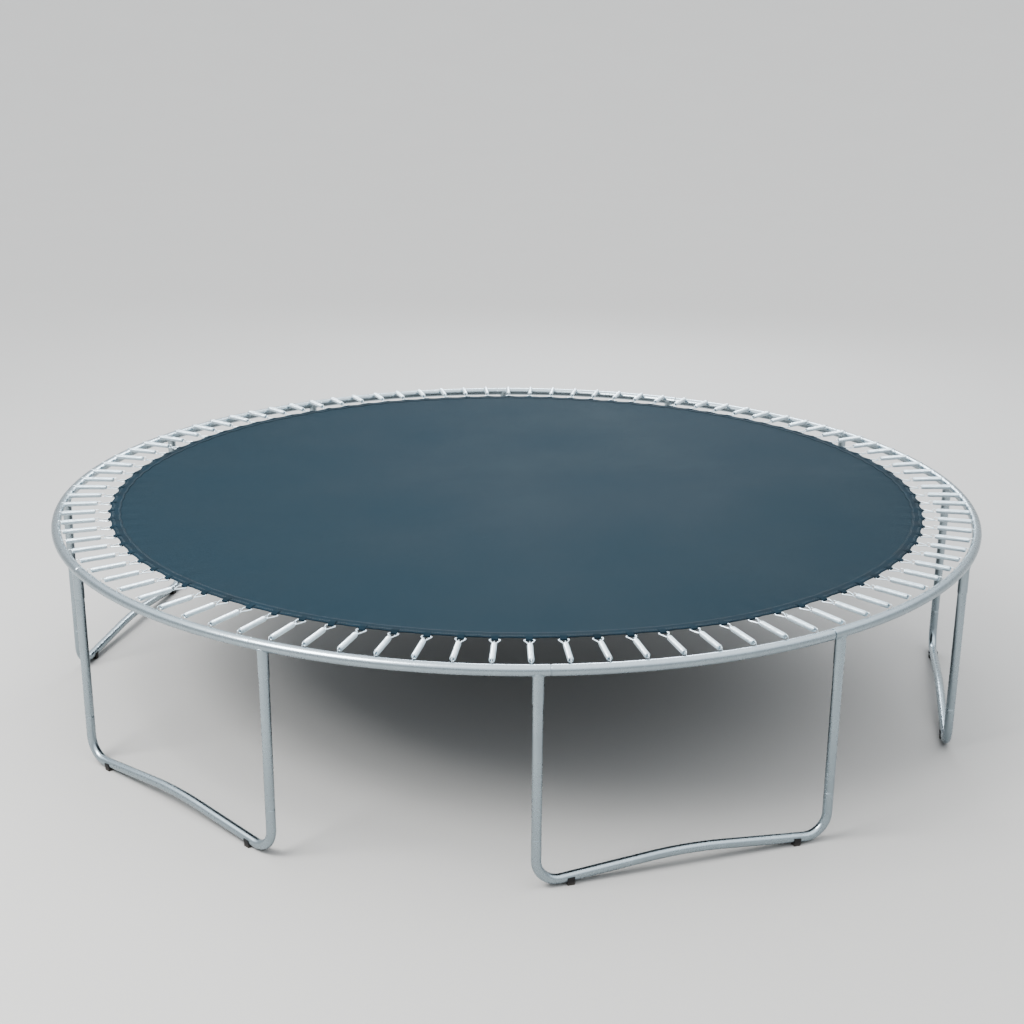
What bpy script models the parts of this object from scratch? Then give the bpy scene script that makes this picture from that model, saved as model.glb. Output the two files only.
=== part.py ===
"""Round backyard trampoline: a rail ring of plug-together tubes on six W-shaped legs, with a woven
jump mat hung in it from 96 coil springs.

Metres, +Z up. The origin is on the ground under the middle of the mat. Angles count anticlockwise
from +X, and the first W-leg faces -Y.
"""

import math

import bmesh
import bpy
from mathutils import Vector

# The ring.
RING_DIAMETER = 4.27  # over the outside of the rail
FRAME_HEIGHT = 0.88  # ground to the top of the rail
SEGMENTS = 12  # curved tubes in the rail
CHORDS = 4  # straight lengths that stand for the curve of one segment
RAIL_DIAMETER = 0.042
RAIL_WALL = 0.0018
RAIL_SPIGOT_LENGTH = 0.045  # swaged end inside the next segment

# The legs.
LEG_DIAMETER = 0.038
LEG_WALL = 0.0015
SOCKET_WALL = 0.0015
SOCKET_DROP = 0.105  # how far a socket reaches below the rail
SOCKET_FROM_JOINT = 0.045  # along the rail, from the end of its segment
LEG_JOINT_HEIGHT = 0.205  # where a leg tube meets its base
LEG_SPIGOT_LENGTH = 0.06  # swaged end of a base, inside the leg tube
BASE_BEND_RADIUS = 0.09
BASE_RISE = 0.042  # how far the middle of a base stands over its bends
BEND_STEPS = 3

# The foot caps.
FOOT_LENGTH = 0.028  # along the tube
FOOT_WALL = 0.003  # rubber beside the tube
FOOT_SOLE = 0.004  # rubber under the tube's lowest point
FOOT_WRAP = 0.004  # how far a cap's sides reach over the tube's middle
FOOT_FROM_LEG = 0.13

# The springs.
SPRINGS_PER_SEGMENT = 8
SPRING_DIAMETER = 0.023
SPRING_BODY_LENGTH = 0.148
SPRING_WIRE = 0.0032
SPRING_OVER_RAIL = 0.003  # springs' axis over the top of the rail
SPRING_HOOK_ANGLE = 72.0  # degrees over the horizontal at which a hook enters the rail
SPRING_HOOK_REACH = 0.0065  # height of a hook's loop over the rail's surface
SPRING_START = 0.001  # rail's inner side to the first coil
SPRING_SHOULDER = 0.003  # length in which the last coil narrows to the inner hook
SPRING_TIP_LENGTH = 0.023  # last coil to the end of the inner hook
LINK_WIRE = 0.005  # wire inside the rail that joins the springs of one segment
LINK_OFFSET = 0.008  # from the middle of the rail, towards the holes
LINK_PAST = 0.005  # link wire past the first and last spring

# The mat and its edge.
RING_WIRE = 0.005  # V-ring
V_RING_WIDTH = 0.046
V_RING_DEPTH = 0.054
WEBBING_WIDTH = 0.048
MAT_THICKNESS = 0.002
MAT_MARGIN = 0.004  # webbing left showing outside the mat's edge

# Gaps.
CONTACT_GAP = 0.0003  # between pieces that touch
SLIP_GAP = 0.0004  # on the radius, between a tube and the tube inside it
HOLE_GAP = 0.0012  # on the radius, round a hook in its hole
LEG_TOP_GAP = 0.004  # leg tube to the rail over it

# Cutters, which reach past the walls that they cut.
HOLE_CUT_INSIDE = 0.0054  # from the rail's outside, past its wall
HOLE_CUT_OUTSIDE = 0.0018

SHARP_EDGE_ANGLE = math.radians(40)

RAIL_SIDES = 10
TUBE_SIDES = 8
SPRING_SIDES = 4
HOLE_SIDES = 4
LINK_SIDES = 4

RAIL_R = RAIL_DIAMETER / 2
LEG_R = LEG_DIAMETER / 2
WIRE_R = SPRING_WIRE / 2
RAIL_CIRCLE = RING_DIAMETER / 2 - RAIL_R  # radius of the rail's centre line
RAIL_Z = FRAME_HEIGHT - RAIL_R
SPRING_Z = FRAME_HEIGHT + SPRING_OVER_RAIL  # springs' axis
BASE_Z = LEG_R + FOOT_SOLE  # lowest point of a base's centre line
RING_DROP = WIRE_R + CONTACT_GAP + RING_WIRE / 2  # springs' axis to the V-rings under their hooks
EDGE_Z = SPRING_Z - RING_DROP  # middle of the V-rings and the webbing
SEGMENT_ANGLE = math.tau / SEGMENTS
CHORD_ANGLE = SEGMENT_ANGLE / CHORDS
SPRING_ANGLE = SEGMENT_ANGLE / SPRINGS_PER_SEGMENT
LEGS = SEGMENTS // 2
FIRST_LEG_ANGLE = -math.pi / 2
HALF_LEG_ANGLE = SEGMENT_ANGLE / 2 + SOCKET_FROM_JOINT / RAIL_CIRCLE
UP = Vector((0, 0, 1))

COLOURS = {  # colour, roughness, metallic
    "galvanised_steel": ((0.68, 0.70, 0.71), 0.38, 1.0),
    "zinc_spring": ((0.74, 0.76, 0.77), 0.30, 1.0),
    "black_rubber": ((0.02, 0.02, 0.02), 0.75, 0.0),
    "mat_fabric": ((0.045, 0.075, 0.105), 0.55, 0.0),
    "edge_webbing": ((0.03, 0.035, 0.04), 0.80, 0.0),
}


def clear_scene():
    for obj in list(bpy.data.objects):
        bpy.data.objects.remove(obj, do_unlink=True)


def make_materials():
    for name, (colour, roughness, metallic) in COLOURS.items():
        material = bpy.data.materials.new(name)
        material.use_nodes = True
        shader = material.node_tree.nodes["Principled BSDF"]
        shader.inputs["Base Color"].default_value = (*colour, 1.0)
        shader.inputs["Roughness"].default_value = roughness
        shader.inputs["Metallic"].default_value = metallic


def on_circle(radius, angle, z=0.0):
    return Vector((radius * math.cos(angle), radius * math.sin(angle), z))


def mitres(points):
    """One (point, plane normal, stretch) for each inner point: the plane halves the bend there, and
    the stretch keeps the tube's width through it."""
    found = []
    for before, here, after in zip(points, points[1:], points[2:]):
        inward = (here - before).normalized()
        normal = (inward + (after - here).normalized()).normalized()
        found.append((here, normal, 1 / normal.dot(inward)))
    return found


def straight_ends(points):
    """The points with one more before and after, in line with the first and the last stretch."""
    return [2 * points[0] - points[1], *points, 2 * points[-1] - points[-2]]


def add_rod(mesh, rings, across, sides):
    """Adds a closed rod to the bmesh. Each ring is (point, plane normal, stretch, radius), and across
    is the direction square to the plane that the rod bends in."""
    turn = math.tau / sides
    loops = []
    for point, normal, stretch, radius in rings:
        inside = normal.cross(across) * stretch
        angles = [turn * (side + 0.5) for side in range(sides)]
        loops.append(
            [mesh.verts.new(point + radius * (math.sin(a) * across + math.cos(a) * inside)) for a in angles]
        )
    for first, second in zip(loops, loops[1:]):
        for side in range(sides):
            after = (side + 1) % sides
            mesh.faces.new((first[side], first[after], second[after], second[side]))
    mesh.faces.new(loops[0][::-1])
    mesh.faces.new(loops[-1])


def new_object(name, mesh, material):
    bmesh.ops.recalc_face_normals(mesh, faces=mesh.faces)
    data = bpy.data.meshes.new(name)
    mesh.to_mesh(data)
    mesh.free()
    data.shade_smooth()
    data.set_sharp_from_angle(angle=SHARP_EDGE_ANGLE)
    obj = bpy.data.objects.new(name, data)
    bpy.context.scene.collection.objects.link(obj)
    if material:
        data.materials.append(bpy.data.materials[material])
    return obj


def new_helper(name, mesh):
    obj = new_object(name, mesh, None)
    obj.hide_render = True
    obj.display_type = "WIRE"
    return obj


def add_boolean(obj, operation, helper):
    modifier = obj.modifiers.new(operation.lower() + "_" + helper.name, "BOOLEAN")
    modifier.operation = operation
    modifier.object = helper


def outward(angle):
    return on_circle(1.0, angle)


def leg_angles(leg):
    middle = FIRST_LEG_ANGLE + leg * math.tau / LEGS
    return middle - HALF_LEG_ANGLE, middle + HALF_LEG_ANGLE


def leg_frame(leg):
    """Where the two legs of a W-leg stand, the direction from the first to the second, and the
    direction square to both, away from the mat."""
    first, second = (chord_point(angle) for angle in leg_angles(leg))
    along = (second - first).normalized()
    return first, second, along, along.cross(UP)


def chord_point(angle):
    """The point of the rail's centre line at this angle. The line is straight between its corners."""
    corner = FIRST_LEG_ANGLE - SEGMENT_ANGLE / 2
    off_middle = (angle - corner) % CHORD_ANGLE - CHORD_ANGLE / 2
    return on_circle(RAIL_CIRCLE * math.cos(CHORD_ANGLE / 2) / math.cos(off_middle), angle)


def segment_start(segment):
    return FIRST_LEG_ANGLE + (segment - 0.5) * SEGMENT_ANGLE


def rail_rings(segment, radius, spigot_radius, shoulder_gap, overrun):
    """The rings of one rail segment, from its open end to the tip of its swaged end."""
    start = segment_start(segment)
    corners = [on_circle(RAIL_CIRCLE, start + k * CHORD_ANGLE, RAIL_Z) for k in range(-1, CHORDS + 2)]
    planes = mitres(corners)
    onward = (corners[-1] - corners[-2]).normalized()
    first, first_normal, first_stretch = planes[0]
    last, last_normal, last_stretch = planes[-1]
    rings = [(first - overrun * first_normal, first_normal, first_stretch, radius)]
    rings += [(point, normal, stretch, radius) for point, normal, stretch in planes[1:-1]]
    shoulder = last - shoulder_gap * last_normal
    rings.append((shoulder, last_normal, last_stretch, radius))
    rings.append((shoulder, last_normal, last_stretch, spigot_radius))
    rings.append((last + (RAIL_SPIGOT_LENGTH + overrun) * onward, onward, 1.0, spigot_radius))
    return rings


def spring_places(segment):
    """Each spring of a segment as (rail centre beside it, direction towards the mat, direction along
    the rail)."""
    start = segment_start(segment)
    for spring in range(SPRINGS_PER_SEGMENT):
        angle = start + (spring + 0.5) * SPRING_ANGLE
        centre = chord_point(angle) + RAIL_Z * UP
        yield centre, -outward(angle), outward(angle).cross(UP)


def hook_direction(inward):
    lift = math.radians(SPRING_HOOK_ANGLE)
    return math.cos(lift) * inward + math.sin(lift) * UP


def spring_run():
    """Distances from the rail's centre line, towards the mat: first coil, last coil, inner hook."""
    first = RAIL_R + SPRING_START
    last = first + SPRING_BODY_LENGTH
    return first, last, last + SPRING_TIP_LENGTH


def add_spring(mesh, centre, inward, across):
    """One spring as a smooth bar: the outer hook up out of the rail, the coils' outside, and the
    inner hook down through the V-ring."""
    first, last, tip = spring_run()
    axis = centre + (SPRING_Z - RAIL_Z) * UP
    route = [
        (centre + LINK_OFFSET * hook_direction(inward), WIRE_R),
        (centre + (RAIL_R + SPRING_HOOK_REACH) * hook_direction(inward), WIRE_R),
        (axis + first * inward, SPRING_DIAMETER / 2),
        (axis + last * inward, SPRING_DIAMETER / 2),
        (axis + (last + SPRING_SHOULDER) * inward, WIRE_R),
        (axis + tip * inward, WIRE_R),
        (axis + tip * inward - 2 * RING_DROP * UP, WIRE_R),
    ]
    planes = mitres(straight_ends([point for point, _ in route]))
    # The bar's width belongs to its wire or its coils, so its bends aren't stretched.
    rings = [(point, normal, 1.0, radius) for (point, normal, _), (_, radius) in zip(planes, route)]
    add_rod(mesh, rings, across, SPRING_SIDES)


def socket_tubes(segment):
    """Outer tubes and bores of the two sockets of one rail segment."""
    outer, bores = bmesh.new(), bmesh.new()
    top = RAIL_Z * UP
    bottom = (RAIL_Z - RAIL_R - SOCKET_DROP) * UP
    bore_top = (RAIL_Z - RAIL_R - CONTACT_GAP) * UP
    bore_r = LEG_R + SLIP_GAP
    # The second leg of one W-leg and the first leg of the next stand in the same segment.
    for leg, end in (((segment - 1) // 2, 1), ((segment + 1) // 2, 0)):
        foot = leg_frame(leg)[end]
        across = leg_frame(leg)[3]
        for mesh, high, low, radius in (
            (outer, top, bottom, bore_r + SOCKET_WALL),
            (bores, bore_top, bottom - SOCKET_WALL * UP, bore_r),
        ):
            rings = [(foot + high, -UP, 1.0, radius), (foot + low, -UP, 1.0, radius)]
            add_rod(mesh, rings, across, TUBE_SIDES)
    return outer, bores


def make_rail_segment(segment):
    name = f"rail_segment_{segment + 1:02d}"
    solid = bmesh.new()
    spigot_r = RAIL_R - RAIL_WALL - SLIP_GAP
    add_rod(solid, rail_rings(segment, RAIL_R, spigot_r, CONTACT_GAP, 0.0), UP, RAIL_SIDES)
    rail = new_object(name, solid, "galvanised_steel")
    cuts = bmesh.new()
    for centre, inward, across in spring_places(segment):
        direction = hook_direction(inward)
        radius = WIRE_R + HOLE_GAP
        near = centre + (RAIL_R - HOLE_CUT_INSIDE) * direction
        far = centre + (RAIL_R + HOLE_CUT_OUTSIDE) * direction
        rings = [(near, direction, 1.0, radius), (far, direction, 1.0, radius)]
        add_rod(cuts, rings, across, HOLE_SIDES)
    if segment % 2:
        outer, bores = socket_tubes(segment)
        add_boolean(rail, "UNION", new_helper(name + "_sockets", outer))
        add_boolean(rail, "DIFFERENCE", new_helper(name + "_socket_bores", bores))
    bore = bmesh.new()
    bore_rings = rail_rings(segment, RAIL_R - RAIL_WALL, spigot_r - RAIL_WALL, RAIL_WALL, RAIL_WALL)
    add_rod(bore, bore_rings, UP, RAIL_SIDES)
    add_boolean(rail, "DIFFERENCE", new_helper(name + "_bore", bore))
    add_boolean(rail, "DIFFERENCE", new_helper(name + "_spring_holes", cuts))


def make_spring_set(segment):
    """The springs of one rail segment, joined by a wire that lies out of sight inside the rail."""
    name = f"spring_set_{segment + 1:02d}"
    springs, link = bmesh.new(), bmesh.new()
    ends = []
    for centre, inward, across in spring_places(segment):
        add_spring(springs, centre, inward, across)
        ends.append(centre + LINK_OFFSET * hook_direction(inward))
    ends[0] += LINK_PAST * (ends[0] - ends[1]).normalized()
    ends[-1] += LINK_PAST * (ends[-1] - ends[-2]).normalized()
    rings = [(*plane, LINK_WIRE / 2) for plane in mitres(straight_ends(ends))]
    add_rod(link, rings, UP, LINK_SIDES)
    obj = new_object(name, link, "zinc_spring")
    add_boolean(obj, "UNION", new_helper(name + "_springs", springs))


def make_leg_tube(leg, end):
    name = f"leg_tube_{2 * leg + end + 1:02d}"
    foot, across = leg_frame(leg)[end], leg_frame(leg)[3]
    bottom = LEG_JOINT_HEIGHT + CONTACT_GAP
    top = RAIL_Z - RAIL_R - LEG_TOP_GAP
    tube, bore = bmesh.new(), bmesh.new()
    for mesh, radius, overrun in ((tube, LEG_R, 0.0), (bore, LEG_R - LEG_WALL, LEG_WALL)):
        low = (foot + (bottom - overrun) * UP, UP, 1.0, radius)
        high = (foot + (top + overrun) * UP, UP, 1.0, radius)
        add_rod(mesh, [low, high], across, TUBE_SIDES)
    obj = new_object(name, tube, "galvanised_steel")
    add_boolean(obj, "DIFFERENCE", new_helper(name + "_bore", bore))


def base_points(leg):
    """The centre line of a base from leg joint to leg joint: down, round a bend to the ground, up to
    the raised middle, and the same again."""
    first, second, along, _ = leg_frame(leg)
    half = (second - first).length / 2
    radius = BASE_BEND_RADIUS
    slope = math.atan2(BASE_RISE, half - radius)
    bend = math.pi / 2 + slope
    side = []
    for step in range(BEND_STEPS + 1):
        turned = bend * step / BEND_STEPS
        side.append((radius - radius * math.cos(turned), BASE_Z + radius - radius * math.sin(turned)))
    run, height = side[-1]
    middle = (half, height + (half - run) * math.tan(slope))
    profile = [(0.0, LEG_JOINT_HEIGHT), *side, middle]
    points = [first + reach * along + z * UP for reach, z in profile]
    points += [second - reach * along + z * UP for reach, z in profile[-2::-1]]
    return points


def base_rings(leg, radius, spigot_radius, shoulder, overrun):
    """The rings of a base tube and its two swaged ends."""
    points = base_points(leg)
    planes = mitres(straight_ends(points))[1:-1]
    tip = (LEG_SPIGOT_LENGTH + overrun) * UP
    step = shoulder * UP
    rings = [
        (points[0] + tip, -UP, 1.0, spigot_radius),
        (points[0] - step, -UP, 1.0, spigot_radius),
        (points[0] - step, -UP, 1.0, radius),
    ]
    rings += [(point, normal, stretch, radius) for point, normal, stretch in planes]
    rings += [
        (points[-1] - step, UP, 1.0, radius),
        (points[-1] - step, UP, 1.0, spigot_radius),
        (points[-1] + tip, UP, 1.0, spigot_radius),
    ]
    return rings


def make_base(leg):
    name = f"base_tube_{leg + 1:02d}"
    across = leg_frame(leg)[3]
    spigot_r = LEG_R - LEG_WALL - SLIP_GAP
    tube, bore = bmesh.new(), bmesh.new()
    add_rod(tube, base_rings(leg, LEG_R, spigot_r, CONTACT_GAP, 0.0), across, TUBE_SIDES)
    inner = base_rings(leg, LEG_R - LEG_WALL, spigot_r - LEG_WALL, LEG_WALL, LEG_WALL)
    add_rod(bore, inner, across, TUBE_SIDES)
    obj = new_object(name, tube, "galvanised_steel")
    add_boolean(obj, "DIFFERENCE", new_helper(name + "_bore", bore))


def make_foot_cap(leg, end):
    """A cradle under the base tube with a level sole."""
    name = f"foot_cap_{2 * leg + end + 1:02d}"
    frame = leg_frame(leg)
    along, across = frame[2], frame[3]
    towards = along if end == 0 else -along
    centre = frame[end] + FOOT_FROM_LEG * towards
    half_width = LEG_R + CONTACT_GAP + FOOT_WALL
    top = BASE_Z + FOOT_WRAP
    block, groove = bmesh.new(), bmesh.new()
    outline = [
        (-half_width, top),
        (-half_width, FOOT_SOLE),
        (-half_width + FOOT_SOLE, 0.0),
        (half_width - FOOT_SOLE, 0.0),
        (half_width, FOOT_SOLE),
        (half_width, top),
    ]
    ends = []
    for reach in (-FOOT_LENGTH / 2, FOOT_LENGTH / 2):
        ends.append([block.verts.new(centre + reach * towards + w * across + z * UP) for w, z in outline])
    count = len(outline)
    for side in range(count):
        after = (side + 1) % count
        block.faces.new((ends[0][side], ends[0][after], ends[1][after], ends[1][side]))
    block.faces.new(ends[0][::-1])
    block.faces.new(ends[1])
    radius = LEG_R + CONTACT_GAP
    add_rod(groove, base_rings(leg, radius, radius, LEG_WALL, 0.0), across, TUBE_SIDES)
    obj = new_object(name, block, "black_rubber")
    add_boolean(obj, "DIFFERENCE", new_helper(name + "_groove", groove))


def edge_radii():
    """Distances from the middle of the mat: a V-ring's tip, the tip of the hole in it, and the edge
    of the webbing. The spring's inner hook touches both sides of the hole, as far out as it can."""
    off_middle = CHORD_ANGLE / 2 - SPRING_ANGLE / 2
    centre = RAIL_CIRCLE * math.cos(CHORD_ANGLE / 2) / math.cos(off_middle)
    slant = math.sin(math.atan2(V_RING_WIDTH / 2, V_RING_DEPTH))
    hole_tip = centre - spring_run()[2] + (WIRE_R + CONTACT_GAP) / slant
    tip = hole_tip + RING_WIRE / slant
    return tip, hole_tip, tip - V_RING_DEPTH


def make_edge_webbing():
    """The webbing and the V-rings that its loops hold, as one flat open outline given the thickness
    of the rings' wire. Each ring is two arms that meet at the spring's hook."""
    count = SEGMENTS * SPRINGS_PER_SEGMENT
    apex, hole_tip, outside = edge_radii()
    inside = outside - WEBBING_WIDTH
    hole_width = V_RING_WIDTH / 2 - RING_WIRE / math.cos(math.atan2(V_RING_WIDTH / 2, V_RING_DEPTH))
    mesh = bmesh.new()
    bottom = EDGE_Z - RING_WIRE / 2
    rows = []
    for index in range(count):
        angle = FIRST_LEG_ANGLE + (index + 0.5) * SPRING_ANGLE
        out, side = outward(angle), UP.cross(outward(angle))
        place = {
            "inner": on_circle(inside, angle - SPRING_ANGLE / 2),
            "right_out": outside * out - V_RING_WIDTH / 2 * side,
            "right_in": outside * out - hole_width * side,
            "left_in": outside * out + hole_width * side,
            "left_out": outside * out + V_RING_WIDTH / 2 * side,
            "tip": apex * out,
            "hole_tip": hole_tip * out,
        }
        rows.append({key: mesh.verts.new(point + bottom * UP) for key, point in place.items()})
    for row, after in zip(rows, rows[1:] + rows[:1]):
        edge = [row[key] for key in ("left_out", "left_in", "right_in", "right_out")]
        mesh.faces.new([row["inner"], *edge[::-1], after["inner"]])
        mesh.faces.new((row["left_out"], after["right_out"], after["inner"]))
        mesh.faces.new((row["right_out"], row["tip"], row["hole_tip"], row["right_in"]))
        mesh.faces.new((row["tip"], row["left_out"], row["left_in"], row["hole_tip"]))
    lifted = bmesh.ops.extrude_face_region(mesh, geom=mesh.faces[:])["geom"]
    points = [item for item in lifted if isinstance(item, bmesh.types.BMVert)]
    bmesh.ops.translate(mesh, verts=points, vec=RING_WIRE * UP)
    new_object("edge_webbing", mesh, "edge_webbing")


def make_jump_mat():
    """The woven mat, a flat disc that lies on the webbing."""
    radius = edge_radii()[2] - MAT_MARGIN
    bottom = EDGE_Z + RING_WIRE / 2 + CONTACT_GAP
    mesh = bmesh.new()
    count = SEGMENTS * SPRINGS_PER_SEGMENT
    angles = [FIRST_LEG_ANGLE + k * SPRING_ANGLE for k in range(count)]
    rim = [mesh.verts.new(on_circle(radius, angle, bottom)) for angle in angles]
    mesh.faces.new(rim)
    lifted = bmesh.ops.extrude_face_region(mesh, geom=mesh.faces[:])["geom"]
    points = [item for item in lifted if isinstance(item, bmesh.types.BMVert)]
    bmesh.ops.translate(mesh, verts=points, vec=MAT_THICKNESS * UP)
    new_object("jump_mat", mesh, "mat_fabric")


clear_scene()
make_materials()
for segment_number in range(SEGMENTS):
    make_rail_segment(segment_number)
    make_spring_set(segment_number)
for leg_number in range(LEGS):
    make_base(leg_number)
    for end_number in (0, 1):
        make_leg_tube(leg_number, end_number)
        make_foot_cap(leg_number, end_number)
make_edge_webbing()
make_jump_mat()
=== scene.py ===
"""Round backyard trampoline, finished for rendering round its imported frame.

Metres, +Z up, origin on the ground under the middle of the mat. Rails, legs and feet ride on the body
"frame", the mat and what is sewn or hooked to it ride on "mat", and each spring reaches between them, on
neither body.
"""

import math

import bmesh
import bpy
import numpy as np
from mathutils import Euler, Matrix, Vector


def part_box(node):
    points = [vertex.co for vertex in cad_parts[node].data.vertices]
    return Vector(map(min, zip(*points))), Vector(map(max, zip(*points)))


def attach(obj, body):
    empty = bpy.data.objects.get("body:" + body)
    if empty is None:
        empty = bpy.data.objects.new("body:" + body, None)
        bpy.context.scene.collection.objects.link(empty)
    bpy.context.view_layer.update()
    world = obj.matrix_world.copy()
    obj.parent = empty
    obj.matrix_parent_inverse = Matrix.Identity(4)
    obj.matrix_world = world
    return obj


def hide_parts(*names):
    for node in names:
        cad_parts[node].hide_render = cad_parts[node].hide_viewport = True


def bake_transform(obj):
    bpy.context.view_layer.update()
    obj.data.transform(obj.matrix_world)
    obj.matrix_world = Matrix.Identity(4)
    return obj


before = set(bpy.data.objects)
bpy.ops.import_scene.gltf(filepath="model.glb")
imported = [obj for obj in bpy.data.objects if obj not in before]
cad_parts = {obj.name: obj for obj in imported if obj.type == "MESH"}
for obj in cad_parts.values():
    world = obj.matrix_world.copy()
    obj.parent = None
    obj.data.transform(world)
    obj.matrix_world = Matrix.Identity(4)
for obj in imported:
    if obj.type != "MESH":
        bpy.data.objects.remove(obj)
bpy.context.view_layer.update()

bl_info = {
    "name": "Backyard Trampoline",
    "version": (1, 0, 0),
    "blender": (4, 5, 0),
    "location": "View3D > Sidebar > Trampoline",
    "description": "Builds a round trampoline with tube legs, coil springs and a woven mat",
    "category": "Add Mesh",
}

UP = np.array((0.0, 0.0, 1.0))
SEGMENTS = sum(name.startswith("rail_segment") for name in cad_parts)
UPRIGHTS = sum(name.startswith("leg_tube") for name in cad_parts)
BASES = sum(name.startswith("base_tube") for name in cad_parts)
SPRINGS_PER_SEGMENT = 8
SPRINGS = SEGMENTS * SPRINGS_PER_SEGMENT
SEGMENT_ANGLE = math.tau / SEGMENTS
SPRING_ANGLE = math.tau / SPRINGS
FIRST_ANGLE = -math.pi / 2 - SEGMENT_ANGLE / 2  # where the first rail segment starts


def corners(node):
    """The node's lowest and highest corners, as arrays."""
    low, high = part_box(node)
    return np.array(low), np.array(high)


# Places and sizes that the frame gives.
RAIL_LOW, RAIL_HIGH = corners("rail_segment_01")
RAIL_R = (RAIL_HIGH[2] - RAIL_LOW[2]) / 2
RAIL_Z = (RAIL_HIGH[2] + RAIL_LOW[2]) / 2
RAIL_CIRCLE = -RAIL_LOW[1] - RAIL_R * math.cos(math.pi / 10)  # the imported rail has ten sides
SOCKET_Z = corners("rail_segment_02")[0][2]
LEG_LOW, LEG_HIGH = corners("leg_tube_01")
MAT_LOW, MAT_HIGH = corners("jump_mat")
MAT_R = MAT_HIGH[0]
EDGE_LOW, EDGE_HIGH = corners("edge_webbing")
RING_Z = (EDGE_LOW[2] + EDGE_HIGH[2]) / 2
RING_TIP = EDGE_HIGH[0] / math.cos(SPRING_ANGLE / 2)
HOOK_OVER_RING = 0.0019  # middle of a hook's wire over the top of the V-ring that it holds
SPRING_Z = EDGE_HIGH[2] + HOOK_OVER_RING  # the springs' axis
BASE_LOW = corners("base_tube_01")[0]


# --- Sizes and colours that a user may change -------------------------------------------------


class TrampolineSizes(bpy.types.PropertyGroup):
    leg_diameter: bpy.props.FloatProperty(
        name="Leg diameter", description="Outside of the leg and base tubes", default=0.038, unit="LENGTH"
    )
    tube_wall: bpy.props.FloatProperty(
        name="Tube wall", description="Wall of every steel tube", default=0.0016, unit="LENGTH"
    )
    socket_diameter: bpy.props.FloatProperty(
        name="Socket diameter", description="Outside of the welded sockets", default=0.0418, unit="LENGTH"
    )
    bend_radius: bpy.props.FloatProperty(
        name="Bend radius", description="Bend at each end of a base", default=0.09, unit="LENGTH"
    )
    base_rise: bpy.props.FloatProperty(
        name="Base rise", description="Height of a base's middle over its bends", default=0.042, unit="LENGTH"
    )
    foot_from_leg: bpy.props.FloatProperty(
        name="Foot place", description="Distance of a foot cap from its leg", default=0.13, unit="LENGTH"
    )
    spring_diameter: bpy.props.FloatProperty(
        name="Spring diameter", description="Outside of the coils", default=0.023, unit="LENGTH"
    )
    spring_wire: bpy.props.FloatProperty(
        name="Spring wire", description="Diameter of the spring wire", default=0.0032, unit="LENGTH"
    )
    ring_wire: bpy.props.FloatProperty(
        name="Ring wire", description="Diameter of the V-rings' wire", default=0.005, unit="LENGTH"
    )
    ring_width: bpy.props.FloatProperty(
        name="Ring width", description="Width of a V-ring at the mat", default=0.047, unit="LENGTH"
    )
    band_width: bpy.props.FloatProperty(
        name="Band width", description="Webbing folded over the mat's edge", default=0.044, unit="LENGTH"
    )


class TrampolineColours(bpy.types.PropertyGroup):
    steel: bpy.props.FloatVectorProperty(
        name="Steel", description="Galvanised tubes", subtype="COLOR", size=3, default=(0.36, 0.42, 0.455)
    )
    zinc: bpy.props.FloatVectorProperty(
        name="Zinc", description="Springs and V-rings", subtype="COLOR", size=3, default=(0.72, 0.82, 0.88)
    )
    mat: bpy.props.FloatVectorProperty(
        name="Mat", description="Woven mat", subtype="COLOR", size=3, default=(0.0135, 0.033, 0.048)
    )
    band: bpy.props.FloatVectorProperty(
        name="Band", description="Webbing at the mat's edge", subtype="COLOR", size=3,
        default=(0.007, 0.019, 0.029),
    )
    thread: bpy.props.FloatVectorProperty(
        name="Thread", description="Stitching", subtype="COLOR", size=3, default=(0.085, 0.105, 0.12)
    )
    rubber: bpy.props.FloatVectorProperty(
        name="Rubber", description="Foot caps", subtype="COLOR", size=3, default=(0.012, 0.012, 0.013)
    )
    floor: bpy.props.FloatVectorProperty(
        name="Floor", description="Studio floor", subtype="COLOR", size=3, default=(0.42, 0.42, 0.415)
    )


def sizes():
    return bpy.context.scene.trampoline_sizes


def colours():
    return bpy.context.scene.trampoline_colours


# --- Surfaces -----------------------------------------------------------------------------------


def grid_faces(rows, columns, close_rows, close_columns):
    """The quads of a grid of points, joined last to first along either way that is closed."""
    index = np.arange(rows * columns).reshape(rows, columns)
    if close_rows:
        index = np.vstack([index, index[:1]])
    if close_columns:
        index = np.hstack([index, index[:, :1]])
    quads = [index[:-1, :-1], index[1:, :-1], index[1:, 1:], index[:-1, 1:]]
    return np.stack(quads, axis=-1).reshape(-1, 4)


def unit(vectors):
    """The vectors over their lengths."""
    return vectors / np.linalg.norm(vectors, axis=-1, keepdims=True)


def smooth_step(value):
    """3 v squared less 2 v cubed, with v held between 0 and 1."""
    value = np.clip(value, 0, 1)
    return value * value * (3 - 2 * value)


def carried(centres, across, tangents, radii, sides):
    """Rings of points round a path: the centre plus the radius times (cos a along across, sin a along
    tangent x across). Across is taken square to the path first. Shape (stations, sides, 3)."""
    across = unit(across - (across * tangents).sum(-1, keepdims=True) * tangents)
    inside = np.cross(tangents, across)
    angle = np.arange(sides) * math.tau / sides
    spokes = np.cos(angle)[:, None] * across[:, None] + np.sin(angle)[:, None] * inside[:, None]
    return centres[:, None] + radii[:, None, None] * spokes


def tangents_of(points):
    """The direction from the point before to the point after."""
    return unit(np.gradient(points, axis=0))


def pipe(centres, across, tangents, radii, sides):
    """A tube wall: the stations run along the outside and come back along the inside, and the last
    joins the first, so the mesh is closed."""
    rings = carried(centres, across, tangents, radii, sides)
    return rings.reshape(-1, 3), grid_faces(len(centres), sides, True, True), None


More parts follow.
